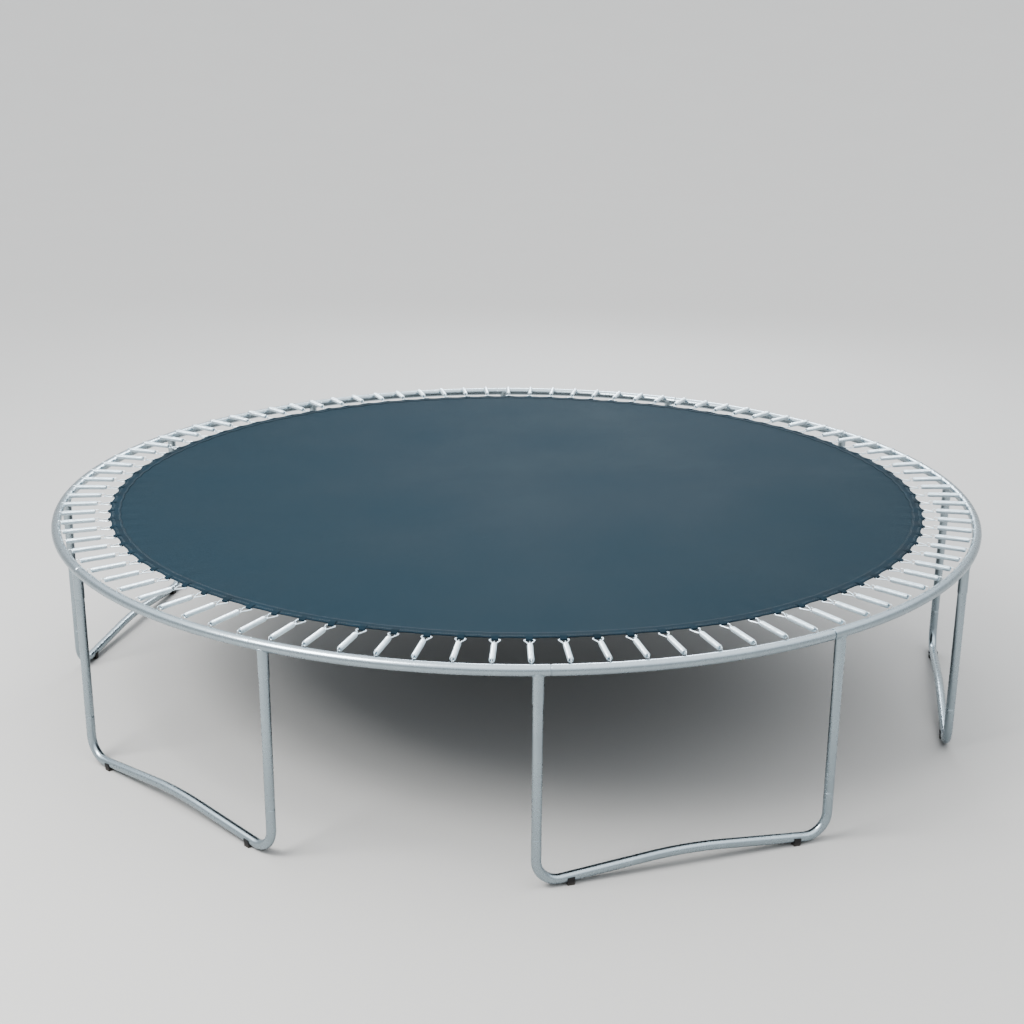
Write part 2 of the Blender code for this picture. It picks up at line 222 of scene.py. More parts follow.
def rod(centres, across, tangents, radii, sides):
    """A solid bar with a fan of triangles over each end."""
    rings = carried(centres, across, tangents, radii, sides)
    points = np.vstack([rings.reshape(-1, 3), centres[:1], centres[-1:]])
    count = len(centres) * sides
    side = np.arange(sides)
    after = (side + 1) % sides
    first = np.stack([np.full(sides, count), side, after], axis=-1)
    last = np.stack([np.full(sides, count + 1), count - sides + after, count - sides + side], axis=-1)
    return points, grid_faces(len(centres), sides, False, True), np.vstack([first, last])


def loop_of_wire(centres, across, radius, sides):
    """A closed ring of round wire along a closed path."""
    tangents = unit(np.roll(centres, -1, axis=0) - np.roll(centres, 1, axis=0))
    radii = np.full(len(centres), radius)
    rings = carried(centres, np.broadcast_to(across, centres.shape), tangents, radii, sides)
    return rings.reshape(-1, 3), grid_faces(len(centres), sides, True, True), None


def there_and_back(run, outer, inner):
    """Positions and radii for pipe: out along the outside and back along the inside."""
    return np.concatenate([run, run[::-1]]), np.concatenate([outer, inner[::-1]])


def piece_of(name, parts, material, body=None):
    """One object at the origin from (points, quads, triangles) parts. Its faces point outwards."""
    points, starts, loops, offset, first = [], [], [], 0, 0
    for part_points, quads, triangles in parts:
        points.append(part_points)
        for faces in (quads, triangles):
            if faces is None:
                continue
            loops.append((faces + offset).ravel())
            starts.append(first + np.arange(len(faces)) * faces.shape[1])
            first += faces.size
        offset += len(part_points)
    points, loops, starts = (np.concatenate(found) for found in (points, loops, starts))
    mesh = bpy.data.meshes.new(name)
    mesh.vertices.add(len(points))
    mesh.loops.add(len(loops))
    mesh.polygons.add(len(starts))
    mesh.vertices.foreach_set("co", points.astype(np.float32).ravel())
    mesh.loops.foreach_set("vertex_index", loops.astype(np.int32))
    mesh.polygons.foreach_set("loop_start", starts.astype(np.int32))
    mesh.update(calc_edges=True)
    mesh.materials.append(material)
    mesh.shade_smooth()
    piece = bpy.data.objects.new(name, mesh)
    bpy.context.scene.collection.objects.link(piece)
    if body:
        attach(piece, body)
    return piece


def turned(part, angle):
    """The part turned about the vertical through the middle of the mat."""
    points, quads, triangles = part
    c, s = math.cos(angle), math.sin(angle)
    return points @ np.array(((c, s, 0), (-s, c, 0), (0, 0, 1))), quads, triangles


def set_sharp(piece, degrees):
    """Shades the piece smooth except where two faces meet at more than this angle."""
    piece.data.set_sharp_from_angle(angle=math.radians(degrees))


# --- Materials ------------------------------------------------------------------------------------


def new_group(name, inputs, outputs):
    """An empty shader node group with these named sockets: (name, type, default)."""
    group = bpy.data.node_groups.new(name, "ShaderNodeTree")
    for label, kind, default in inputs:
        socket = group.interface.new_socket(name=label, in_out="INPUT", socket_type=kind)
        if default is not None:
            socket.default_value = default
    for label, kind in outputs:
        group.interface.new_socket(name=label, in_out="OUTPUT", socket_type=kind)
    return group, group.nodes.new("NodeGroupInput"), group.nodes.new("NodeGroupOutput")


def add_node(tree, kind, links=(), **settings):
    """A node with its settings, and its inputs linked or set: (input, socket or value)."""
    node = tree.nodes.new(kind)
    for key, value in settings.items():
        setattr(node, key, value)
    for key, value in links:
        if isinstance(value, bpy.types.NodeSocket):
            tree.links.new(value, node.inputs[key])
        else:
            node.inputs[key].default_value = value
    return node


def maths(tree, operation, *values):
    """The output of a Math node."""
    node = add_node(tree, "ShaderNodeMath", enumerate(values), operation=operation)
    return node.outputs[0]


def ranged(tree, value, low, high, to_low, to_high):
    """The value's place between low and high, carried over to the second pair and held there."""
    names = ("Value", "From Min", "From Max", "To Min", "To Max")
    node = add_node(tree, "ShaderNodeMapRange", zip(names, (value, low, high, to_low, to_high)))
    return node.outputs[0]


MIX_SHARE, MIX_FIRST, MIX_SECOND, MIX_RESULT = 0, 6, 7, 2  # a Mix node's colour sockets


def mixed(tree, share, first, second):
    """The first colour turning into the second as the share goes from 0 to 1."""
    links = ((MIX_SHARE, share), (MIX_FIRST, first), (MIX_SECOND, second))
    node = add_node(tree, "ShaderNodeMix", links, data_type="RGBA", clamp_factor=True)
    return node.outputs[MIX_RESULT]


def noise(tree, vector, scale, detail=3.0, roughness=0.5):
    links = (("Vector", vector), ("Scale", scale), ("Detail", detail), ("Roughness", roughness))
    return add_node(tree, "ShaderNodeTexNoise", links).outputs["Fac"]


def stretched(tree, vector, scale):
    """The coordinates scaled by a factor for each axis."""
    return add_node(tree, "ShaderNodeMapping", (("Vector", vector), ("Scale", scale))).outputs[0]


def make_weathering_group():
    """Blotches of dull oxide, with runs down the vertical, and fine scuffs. Mask is how dull the
    surface is and Scuffs is how scratched, both from 0 to 1."""
    sockets = [("Vector", "NodeSocketVector", None), ("Scale", "NodeSocketFloat", 6.0)]
    outputs = [("Mask", "NodeSocketFloat"), ("Scuffs", "NodeSocketFloat")]
    group, source, result = new_group("Weathering", sockets, outputs)
    vector, scale = source.outputs["Vector"], source.outputs["Scale"]
    blotch = noise(group, vector, scale, 5.0, 0.62)
    runs = noise(group, stretched(group, vector, (38.0, 38.0, 2.2)), 1.0, 3.0, 0.55)
    both = maths(group, "MULTIPLY_ADD", runs, 0.45, maths(group, "MULTIPLY", blotch, 0.55))
    group.links.new(ranged(group, both, 0.44, 0.64, 0.0, 1.0), result.inputs["Mask"])
    scratch = noise(group, stretched(group, vector, (260.0, 260.0, 40.0)), 1.0, 2.0, 0.6)
    group.links.new(ranged(group, scratch, 0.52, 0.72, 0.0, 1.0), result.inputs["Scuffs"])
    return group


def make_spangle_group():
    """The crystal pattern of hot-dip zinc: cells of their own tone, and a smooth height for the bump."""
    sockets = [("Vector", "NodeSocketVector", None), ("Scale", "NodeSocketFloat", 90.0)]
    outputs = [("Tone", "NodeSocketFloat"), ("Height", "NodeSocketFloat")]
    group, source, result = new_group("Zinc Spangle", sockets, outputs)
    vector, scale = source.outputs["Vector"], source.outputs["Scale"]
    bent = noise(group, vector, scale, 2.0)
    pushed = add_node(group, "ShaderNodeVectorMath", operation="SCALE")
    group.links.new(vector, pushed.inputs[0])
    group.links.new(ranged(group, bent, 0.0, 1.0, 0.997, 1.003), pushed.inputs["Scale"])
    links = (("Vector", pushed.outputs[0]), ("Scale", scale))
    cells = add_node(group, "ShaderNodeTexVoronoi", links)
    tone = add_node(group, "ShaderNodeSeparateColor", (("Color", cells.outputs["Color"]),))
    group.links.new(tone.outputs[0], result.inputs["Tone"])
    group.links.new(bent, result.inputs["Height"])
    return group


def make_weave_group():
    """Plain weave: two sets of round threads square to each other, each over and under in turn. Height
    is the cloth's height, and Gap is 1 in the pinholes between the threads."""
    sockets = [("Vector", "NodeSocketVector", None), ("Threads", "NodeSocketFloat", 450.0)]
    outputs = [("Height", "NodeSocketFloat"), ("Gap", "NodeSocketFloat")]
    group, source, result = new_group("Plain Weave", sockets, outputs)
    axes = add_node(group, "ShaderNodeSeparateXYZ", (("Vector", source.outputs["Vector"]),))
    turn = maths(group, "MULTIPLY", source.outputs["Threads"], math.pi)
    u = maths(group, "MULTIPLY", axes.outputs["X"], turn)
    v = maths(group, "MULTIPLY", axes.outputs["Y"], turn)
    warp = maths(group, "ABSOLUTE", maths(group, "SINE", u))
    weft = maths(group, "ABSOLUTE", maths(group, "SINE", v))
    side = maths(group, "MULTIPLY", maths(group, "COSINE", u), maths(group, "COSINE", v))
    over = ranged(group, side, -0.4, 0.4, 0.0, 1.0)
    under = maths(group, "SUBTRACT", 1.0, over)
    height = maths(group, "MULTIPLY_ADD", warp, over, maths(group, "MULTIPLY", weft, under))
    group.links.new(height, result.inputs["Height"])
    gap = maths(group, "MAXIMUM", warp, weft)
    group.links.new(ranged(group, gap, 0.0, 0.35, 1.0, 0.0), result.inputs["Gap"])
    return group


def placed(tree, group, **values):
    """The outputs of a node group placed in a material, with its inputs linked or set."""
    return add_node(tree, "ShaderNodeGroup", values.items(), node_tree=group).outputs


def group_named(name, make):
    return bpy.data.node_groups.get(name) or make()


def started(name):
    """A new material with its Principled shader and its Object coordinates."""
    material = bpy.data.materials.new(name)
    material.use_nodes = True
    tree = material.node_tree
    where = add_node(tree, "ShaderNodeTexCoord").outputs["Object"]
    return material, tree, tree.nodes["Principled BSDF"], where


def bumped(tree, shader, height, strength, distance):
    """Feeds the shader's normal from a height."""
    links = (("Height", height), ("Strength", strength), ("Distance", distance))
    tree.links.new(add_node(tree, "ShaderNodeBump", links).outputs[0], shader.inputs["Normal"])


def shade(colour, factor):
    """The colour times a factor, with an alpha of 1."""
    return (*(min(1.0, part * factor) for part in colour), 1.0)


def material_named(name, make):
    return bpy.data.materials.get(name) or make(name)


def spangled_steel(name):
    """Hot-dip galvanised steel: crystals of slightly different tone and gloss, dull blotches and runs."""
    material, tree, shader, where = started(name)
    colour = colours().steel
    spangle = placed(tree, group_named("Zinc Spangle", make_spangle_group), Vector=where, Scale=95.0)
    worn = placed(tree, group_named("Weathering", make_weathering_group), Vector=where, Scale=7.0)
    fresh = mixed(tree, spangle["Tone"], shade(colour, 0.98), shade(colour, 1.02))
    dull = mixed(tree, worn["Mask"], fresh, shade(colour, 0.93))
    scuffed = mixed(tree, maths(tree, "MULTIPLY", worn["Scuffs"], 0.12), dull, shade(colour, 1.12))
    tree.links.new(scuffed, shader.inputs["Base Color"])
    shader.inputs["Metallic"].default_value = 1.0
    gloss = ranged(tree, spangle["Tone"], 0, 1, 0.26, 0.28)
    rough = maths(tree, "MULTIPLY_ADD", worn["Mask"], 0.03, gloss)
    tree.links.new(rough, shader.inputs["Roughness"])
    bumped(tree, shader, spangle["Height"], 0.02, 0.0002)
    return material


def bright_zinc(name):
    """Bright zinc plate, a little duller in blotches and along the wire's scuffs."""
    material, tree, shader, where = started(name)
    colour = colours().zinc
    worn = placed(tree, group_named("Weathering", make_weathering_group), Vector=where, Scale=24.0)
    plated = mixed(tree, worn["Mask"], shade(colour, 1.04), shade(colour, 0.90))
    tree.links.new(plated, shader.inputs["Base Color"])
    shader.inputs["Metallic"].default_value = 1.0
    tree.links.new(ranged(tree, worn["Mask"], 0.0, 1.0, 0.34, 0.46), shader.inputs["Roughness"])
    bumped(tree, shader, worn["Scuffs"], 0.08, 0.0002)
    return material


def weld_metal(name):
    """Weld metal under the zinc: brighter and duller patches a few millimetres across."""
    material, tree, shader, where = started(name)
    worn = placed(tree, group_named("Weathering", make_weathering_group), Vector=where, Scale=60.0)
    colour = colours().steel
    patches = mixed(tree, worn["Mask"], shade(colour, 1.25), shade(colour, 0.85))
    tree.links.new(patches, shader.inputs["Base Color"])
    shader.inputs["Metallic"].default_value = 1.0
    tree.links.new(ranged(tree, worn["Mask"], 0.0, 1.0, 0.30, 0.45), shader.inputs["Roughness"])
    return material


CLOTH_DUST = (0.20, 0.22, 0.23, 1.0)
CLOTH_SHEEN = (0.62, 0.78, 0.92, 1.0)


def woven_mat(name):
    """Tight dark blue polypropylene weave: a dull face, faint lengthwise streaks from the loom, scuffs
    where people land, pale dust, and painted shade in the weave's low parts and its pinholes."""
    material, tree, shader, where = started(name)
    colour = colours().mat
    weave = placed(tree, group_named("Plain Weave", make_weave_group), Vector=where, Threads=420.0)
    streaks = noise(tree, stretched(tree, where, (1.4, 110.0, 1.0)), 1.0, 4.0, 0.6)
    clouds = noise(tree, where, 1.5, 4.0, 0.55)
    specks = noise(tree, where, 160.0, 2.0, 0.7)
    loomed = ranged(tree, streaks, 0.36, 0.66, 0.0, 1.0)
    tone = mixed(tree, loomed, shade(colour, 0.93), shade(colour, 1.07))
    scuffed = mixed(tree, ranged(tree, clouds, 0.40, 0.75, 0.0, 0.45), tone, shade(colour, 1.35))
    dusty = mixed(tree, ranged(tree, specks, 0.62, 0.80, 0.0, 0.10), scuffed, CLOTH_DUST)
    # Painted shade: the weave's low parts are darkened towards 0.45 of the mat's colour.
    low_weave_shade = ranged(tree, weave["Height"], 0.35, 1.0, 1.0, 0.0)
    weave_shaded = mixed(tree, low_weave_shade, dusty, shade(colour, 0.45))
    # Painted shade: the pinholes between the threads are darkened to 0.2 of the mat's colour.
    tree.links.new(mixed(tree, weave["Gap"], weave_shaded, shade(colour, 0.2)), shader.inputs["Base Color"])
    tree.links.new(ranged(tree, clouds, 0.3, 0.7, 0.56, 0.66), shader.inputs["Roughness"])
    shader.inputs["Specular IOR Level"].default_value = 0.05
    shader.inputs["Sheen Weight"].default_value = 0.03
    shader.inputs["Sheen Roughness"].default_value = 0.45
    shader.inputs["Sheen Tint"].default_value = CLOTH_SHEEN
    height = maths(tree, "MULTIPLY_ADD", streaks, 0.4, weave["Height"])
    bumped(tree, shader, height, 0.6, 0.0008)
    return material


def folded_webbing(name):
    """Ribbed polypropylene webbing, with painted shade in the pinholes between its threads. The pattern
    follows the band's own map: metres round the mat and metres across the band."""
    material, tree, shader, where = started(name)
    along = add_node(tree, "ShaderNodeUVMap", uv_map="band").outputs[0]
    colour = colours().band
    weave = placed(tree, group_named("Plain Weave", make_weave_group), Vector=along, Threads=330.0)
    clouds = noise(tree, where, 9.0, 4.0, 0.6)
    faded = ranged(tree, clouds, 0.35, 0.7, 0.0, 1.0)
    tone = mixed(tree, faded, shade(colour, 0.85), shade(colour, 1.4))
    # Painted shade: the pinholes between the threads are darkened to 0.3 of the band's colour.
    tree.links.new(mixed(tree, weave["Gap"], tone, shade(colour, 0.3)), shader.inputs["Base Color"])
    tree.links.new(ranged(tree, clouds, 0.3, 0.7, 0.62, 0.78), shader.inputs["Roughness"])
    shader.inputs["Specular IOR Level"].default_value = 0.10
    bumped(tree, shader, weave["Height"], 0.5, 0.0008)
    return material


def stitch_thread(name):
    """Pale thread with a fine fuzz."""
    material, tree, shader, where = started(name)
    fuzz = noise(tree, where, 900.0, 2.0)
    colour = colours().thread
    spun = mixed(tree, fuzz, shade(colour, 0.7), shade(colour, 1.3))
    tree.links.new(spun, shader.inputs["Base Color"])
    shader.inputs["Roughness"].default_value = 0.7
    return material


GROUND_DUST = (0.16, 0.14, 0.12, 1.0)


def moulded_rubber(name):
    """Moulded rubber with a fine grain, paler with dust towards the ground."""
    material, tree, shader, where = started(name)
    grain = noise(tree, where, 700.0, 3.0, 0.6)
    height = add_node(tree, "ShaderNodeSeparateXYZ", (("Vector", where),)).outputs["Z"]
    near_ground = ranged(tree, height, 0.0, 0.016, 0.5, 0.0)
    dust = maths(tree, "MULTIPLY", near_ground, noise(tree, where, 60.0, 4.0, 0.6))
    dusty = mixed(tree, dust, shade(colours().rubber, 1.0), GROUND_DUST)
    tree.links.new(dusty, shader.inputs["Base Color"])
    tree.links.new(ranged(tree, grain, 0.3, 0.7, 0.55, 0.75), shader.inputs["Roughness"])
    bumped(tree, shader, grain, 0.25, 0.0003)
    return material


def studio_floor(name):
    """A plain matt floor with a hardly visible unevenness of tone."""
    material, tree, shader, where = started(name)
    clouds = noise(tree, where, 0.7, 3.0)
    colour = colours().floor
    painted = mixed(tree, clouds, shade(colour, 0.985), shade(colour, 1.015))
    tree.links.new(painted, shader.inputs["Base Color"])
    shader.inputs["Roughness"].default_value = 0.85
    return material


# --- The ring, legs and feet ------------------------------------------------------------------------


def along_ring(radius, angles, height):
    """Points of a level circle: radius times the cosine and sine of the angle, at one height."""
    level = np.full(len(angles), height)
    return np.stack([radius * np.cos(angles), radius * np.sin(angles), level], axis=-1)


def ring_tangents(angles):
    """The way round the circle at each angle: less its sine, and its cosine."""
    return np.stack([-np.sin(angles), np.cos(angles), np.zeros(len(angles))], axis=-1)


TUBE_SIDES = 32
RAIL_STATIONS = 36
SWAGE_LENGTH = 0.007  # length of the cone where a swaged end narrows
SPIGOT_LENGTH = 0.030
SWAGE_SHARES = np.array((0.04, 0.30, 0.85, 1.0, 1.0))  # how far the tube has narrowed along its cone
TUBE_CLEARANCE = 0.0003  # between a swaged end and the tube that it plugs into
LIP = 0.0007  # rounding of a cut tube end
RAIL_SWAGE = 0.003  # length of a rail's cone
JOINT_GROOVE = 0.0022  # narrow length left showing beside the end of the outer tube
HOOK_LIFT = math.radians(72)  # how far over the horizontal the hooks enter the rail
HOLE_R = 0.0040
DRILL_INSIDE, DRILL_OUTSIDE = 0.006, 0.004  # how far a drill reaches either way from the rail's skin
DRILL_SIDES = 12
TUBE_SHARP, SOFT_SHARP = 35, 50  # degrees over which an edge of steel, or of rubber or cloth, is sharp


def rail_tube(segment, wall):
    """One rail segment as a tube wall along an arc: it starts with a cut end, and ends with a cone and
    a narrower stretch that the next segment's start covers."""
    start = FIRST_ANGLE + segment * SEGMENT_ANGLE
    end = FIRST_ANGLE + (segment + 1) * SEGMENT_ANGLE
    narrow = RAIL_R - wall - TUBE_CLEARANCE
    cone, tip = RAIL_SWAGE / RAIL_CIRCLE, SPIGOT_LENGTH / RAIL_CIRCLE
    lip, groove = LIP / RAIL_CIRCLE, JOINT_GROOVE / RAIL_CIRCLE
    neck = end - groove
    run = np.concatenate([
        [start, start + 0.3 * lip, start + lip],
        np.linspace(start + 4 * lip, end - 1.3 * cone - groove, RAIL_STATIONS),
        [end - cone - groove, end - 0.7 * cone - groove, end - 0.3 * cone - groove, neck, end + tip],
    ])
    outer = np.full(len(run), RAIL_R)
    outer[:3] = RAIL_R - np.array((LIP, 0.3 * LIP, 0.0))
    outer[-5:] = RAIL_R + (narrow - RAIL_R) * SWAGE_SHARES
    angles, radii = there_and_back(run, outer, outer - wall)
    radii[-3:] = RAIL_R - wall
    across = np.broadcast_to(UP, (len(angles), 3))
    centres = along_ring(RAIL_CIRCLE, angles, RAIL_Z)
    return pipe(centres, across, ring_tangents(angles), radii, TUBE_SIDES)


def hook_direction(angle):
    """Out of the rail at a spring hole: towards the mat and up."""
    inward = -np.array((math.cos(angle), math.sin(angle), 0.0))
    return math.cos(HOOK_LIFT) * inward + math.sin(HOOK_LIFT) * UP


def spring_angles(segment):
    """Where the springs of a rail segment stand, half a step in from its ends."""
    steps = np.arange(SPRINGS_PER_SEGMENT) + 0.5
    return FIRST_ANGLE + segment * SEGMENT_ANGLE + steps * SPRING_ANGLE


def cut_spring_holes(rail, segment):
    """Drills the hook holes with a Boolean, and leaves its result in the rail's mesh."""
    drills = []
    for angle in spring_angles(segment):
        direction = hook_direction(angle)
        centre = along_ring(RAIL_CIRCLE, np.array([angle]), RAIL_Z)[0]
        reach = np.array((RAIL_R - DRILL_INSIDE, RAIL_R + DRILL_OUTSIDE))
        ends = centre + reach[:, None] * direction
        across = np.broadcast_to(ring_tangents(np.array([angle]))[0], (2, 3))
        drills.append(rod(ends, across, np.stack([direction] * 2), np.full(2, HOLE_R), DRILL_SIDES))
    drill = piece_of("drill", drills, rail.data.materials[0])
    modifier = rail.modifiers.new("holes", "BOOLEAN")
    modifier.object, modifier.operation = drill, "DIFFERENCE"
    graph = bpy.context.evaluated_depsgraph_get()
    plain = rail.data
    rail.data = bpy.data.meshes.new_from_object(rail.evaluated_get(graph))
    rail.modifiers.clear()
    bpy.data.meshes.remove(plain)
    bpy.data.objects.remove(drill)


class TRAMPOLINE_OT_rails(bpy.types.Operator):
    """Build the curved rail segments, with their swaged ends and spring holes"""

    bl_idname = "trampoline.rails"
    bl_label = "Rail Segments"

    def execute(self, context):
        steel = material_named("spangled_steel", spangled_steel)
        for segment in range(SEGMENTS):
            part = rail_tube(segment, sizes().tube_wall)
            rail = piece_of(f"rail_tube_{segment + 1:02d}", [part], steel)
            cut_spring_holes(rail, segment)
            set_sharp(rail, TUBE_SHARP)
            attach(rail, "frame")
            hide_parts(f"rail_segment_{segment + 1:02d}")
        return {"FINISHED"}


def upright_centre(number):
    """The foot of a leg's axis, on the ground."""
    low, high = corners(f"leg_tube_{number + 1:02d}")
    return (low + high) / 2 * (1, 1, 0)


def straight_tube(centre, low, high, radius, wall):
    """A vertical tube whose radius is drawn in by a part of the lip at each cut end."""
    run = np.array((low, low + 0.3 * LIP, low + LIP, high - LIP, high - 0.3 * LIP, high))
    outer = radius - np.array((LIP, 0.3 * LIP, 0.0, 0.0, 0.3 * LIP, LIP)) * 0.6
    heights, radii = there_and_back(run, outer, np.full(len(run), radius - wall))
    centres = centre + heights[:, None] * UP
    across = np.broadcast_to(np.array((1.0, 0.0, 0.0)), centres.shape)
    return pipe(centres, across, np.broadcast_to(UP, centres.shape), radii, TUBE_SIDES)


SOCKET_SIDES = 48
SOCKET_INTO_RAIL = 0.0008  # overlap of a socket's coped edge with the rail's skin
WELD_R = 0.0026
WELD_RIPPLES = 46
POINTS_PER_RIPPLE = 4
WELD_SIDES = 10
RIPPLE_DEPTH, WELD_UNEVENNESS = 0.16, 0.06  # shares of the bead's radius


def socket_tube(centre, radius, wall):
    """A socket whose top edge is coped to the rail: its height follows the rail's underside, the
    square root of the rail's radius squared less the distance from its centre line squared."""
    angle = np.arange(SOCKET_SIDES) * math.tau / SOCKET_SIDES
    out = centre / np.linalg.norm(centre)
    side = np.cross(UP, out)
    spokes = np.cos(angle)[:, None] * out + np.sin(angle)[:, None] * side
    rows = []
    for r, high in ((radius, True), (radius - wall, True), (radius - wall, False), (radius, False)):
        ring = centre + r * spokes
        if high:
            across_rail = np.linalg.norm(ring[:, :2], axis=1) - RAIL_CIRCLE
            top = RAIL_Z - np.sqrt(np.maximum(RAIL_R**2 - across_rail**2, 0)) + SOCKET_INTO_RAIL
            rows.append(ring * (1, 1, 0) + top[:, None] * UP)
        else:
            rows.append(ring * (1, 1, 0) + SOCKET_Z * UP)
    faces = grid_faces(len(rows), SOCKET_SIDES, True, True)[:, ::-1]
    return np.concatenate(rows), faces, None


def weld_bead(centre, radius):
    """A bead along the line where the socket meets the rail. Its radius ripples along the line by a
    sine with one turn to a ripple, over a slower sine."""
    count = POINTS_PER_RIPPLE * WELD_RIPPLES
    angle = np.arange(count) * math.tau / count
    out = centre / np.linalg.norm(centre)
    side = np.cross(UP, out)
    path = centre + radius * (np.cos(angle)[:, None] * out + np.sin(angle)[:, None] * side)
    off = np.linalg.norm(path[:, :2], axis=1) - RAIL_CIRCLE
    path = path * (1, 1, 0) + (RAIL_Z - np.sqrt(np.maximum(RAIL_R**2 - off**2, 0)))[:, None] * UP
    tangents = unit(np.roll(path, -1, axis=0) - np.roll(path, 1, axis=0))
    uneven = WELD_UNEVENNESS * np.sin(5 * angle + centre[0])
    ripple = WELD_R * (1 + RIPPLE_DEPTH * np.sin(WELD_RIPPLES * angle) + uneven)
    across = unit(np.cos(angle)[:, None] * out + np.sin(angle)[:, None] * side)
    rings = carried(path, across, tangents, ripple, WELD_SIDES)
    return rings.reshape(-1, 3), grid_faces(count, WELD_SIDES, True, True), None


class TRAMPOLINE_OT_sockets(bpy.types.Operator):
    """Build the sockets under the rail and their weld beads"""

    bl_idname = "trampoline.sockets"
    bl_label = "Leg Sockets"

    def execute(self, context):
        steel = material_named("spangled_steel", spangled_steel)
        weld = material_named("weld_metal", weld_metal)
        radius = sizes().socket_diameter / 2
        for number in range(UPRIGHTS):
            centre = upright_centre(number)
            segment = ((number + 1) // 2 * 2 + 11) % SEGMENTS + 1
            part = socket_tube(centre, radius, sizes().tube_wall)
            socket = piece_of(f"leg_socket_{number + 1:02d}", [part], steel, "frame")
            bead_part = weld_bead(centre, radius)
            bead = piece_of(f"socket_weld_{number + 1:02d}", [bead_part], weld, "frame")
            set_sharp(socket, TUBE_SHARP)
            for piece in (socket, bead):
                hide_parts(f"rail_segment_{segment:02d}")
        return {"FINISHED"}


class TRAMPOLINE_OT_uprights(bpy.types.Operator):
    """Build the straight leg tubes"""

    bl_idname = "trampoline.uprights"
    bl_label = "Leg Tubes"

    def execute(self, context):
        steel = material_named("spangled_steel", spangled_steel)
        radius = sizes().leg_diameter / 2
        for number in range(UPRIGHTS):
            centre = upright_centre(number)
            part = straight_tube(centre, LEG_LOW[2], LEG_HIGH[2], radius, sizes().tube_wall)
            upright = piece_of(f"upright_{number + 1:02d}", [part], steel, "frame")
            set_sharp(upright, TUBE_SHARP)
            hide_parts(f"leg_tube_{number + 1:02d}")
        return {"FINISHED"}


BASE_KINK = 0.30  # length of the soft bend in the middle of a base


def base_profile(half, top):
    """Reach and height of half a base's centre line: down from its joint, round a bend that ends on
    the slope, and up the slope to a soft kink in the middle. Shape (stations, 2)."""
    radius = sizes().bend_radius
    low = BASE_LOW[2] + sizes().leg_diameter / 2
    slope = math.atan2(sizes().base_rise, half - radius)
    turned_by = np.linspace(0, math.pi / 2 + slope, 28)
    bend = np.stack([radius - radius * np.cos(turned_by), low + radius - radius * np.sin(turned_by)], -1)
    soft = BASE_KINK / 2
    reach = np.linspace(bend[-1][0], half - soft, 12)[1:]
    straight = np.stack([reach, bend[-1][1] + (reach - bend[-1][0]) * math.tan(slope)], -1)
    share = np.linspace(0, 1, 9)[1:]
    curve = np.stack([
        half - soft + share * soft,
        straight[-1][1] + math.tan(slope) * soft * (share - share**2 / 2),
    ], -1)
    down = np.stack([np.zeros(6), np.linspace(top - SWAGE_LENGTH * 1.3, bend[0][1], 7)[:-1]], -1)
    return np.concatenate([down, bend, straight, curve])


class TRAMPOLINE_OT_bases(bpy.types.Operator):
    """Build the bent base tubes that join the legs in pairs"""

    bl_idname = "trampoline.bases"
    bl_label = "Base Tubes"

    def execute(self, context):
        steel = material_named("spangled_steel", spangled_steel)
        radius, wall = sizes().leg_diameter / 2, sizes().tube_wall
        narrow = radius - wall - TUBE_CLEARANCE
        top = LEG_LOW[2]
        cone = SWAGE_LENGTH / 2 * np.array((0.0, 0.3, 0.7, 1.0))
        neck_heights = top - JOINT_GROOVE - np.concatenate([[-SPIGOT_LENGTH], cone])
        neck_radii = radius + (narrow - radius) * SWAGE_SHARES[::-1]
        for number in range(BASES):
            first, second = upright_centre(2 * number), upright_centre(2 * number + 1)
            along = unit(second - first)
            profile = base_profile(np.linalg.norm(second - first) / 2, top)
            near = first + profile[:, :1] * along + profile[:, 1:] * UP
            far = second - profile[-2::-1, :1] * along + profile[-2::-1, 1:] * UP
            necks = [place + neck_heights[:, None] * UP for place in (first, second)]
            centres = np.concatenate([necks[0], near, far, necks[1][::-1]])
            plain = np.full(len(near) + len(far), radius)
            outer = np.concatenate([neck_radii, plain, neck_radii[::-1]])
            tangents = tangents_of(centres)
            tangents[: len(neck_heights)], tangents[-len(neck_heights):] = -UP, UP
            order, radii = there_and_back(np.arange(len(centres)), outer, outer - wall)
            across = np.broadcast_to(np.cross(along, UP), (len(order), 3))
            part = pipe(centres[order], across, tangents[order], radii, TUBE_SIDES)
            base = piece_of(f"base_bar_{number + 1:02d}", [part], steel, "frame")
            set_sharp(base, TUBE_SHARP)
            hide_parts(f"base_tube_{number + 1:02d}")
        return {"FINISHED"}


FOOT_LENGTH = 0.028
FOOT_OUTLINE = 40  # points round a cap's section
FOOT_THICKNESS = 0.0032
FOOT_GRIP = math.radians(100)  # how far each side of a cap reaches round the tube, from below
SOLE_HALF = math.radians(62)  # part of that, from below, that is levelled into the sole
SOLE_OVER = 0.0015  # how far the sole's edge stands out past the cap's side
FOOT_SHARES = np.array((-0.5, -0.47, -0.4, -0.15, 0.15, 0.4, 0.47, 0.5))  # stations, in foot lengths
FOOT_SHRINK = np.array((0.0012, 0.0003, 0.0, 0.0, 0.0, 0.0, 0.0003, 0.0012))  # rounding of the ends


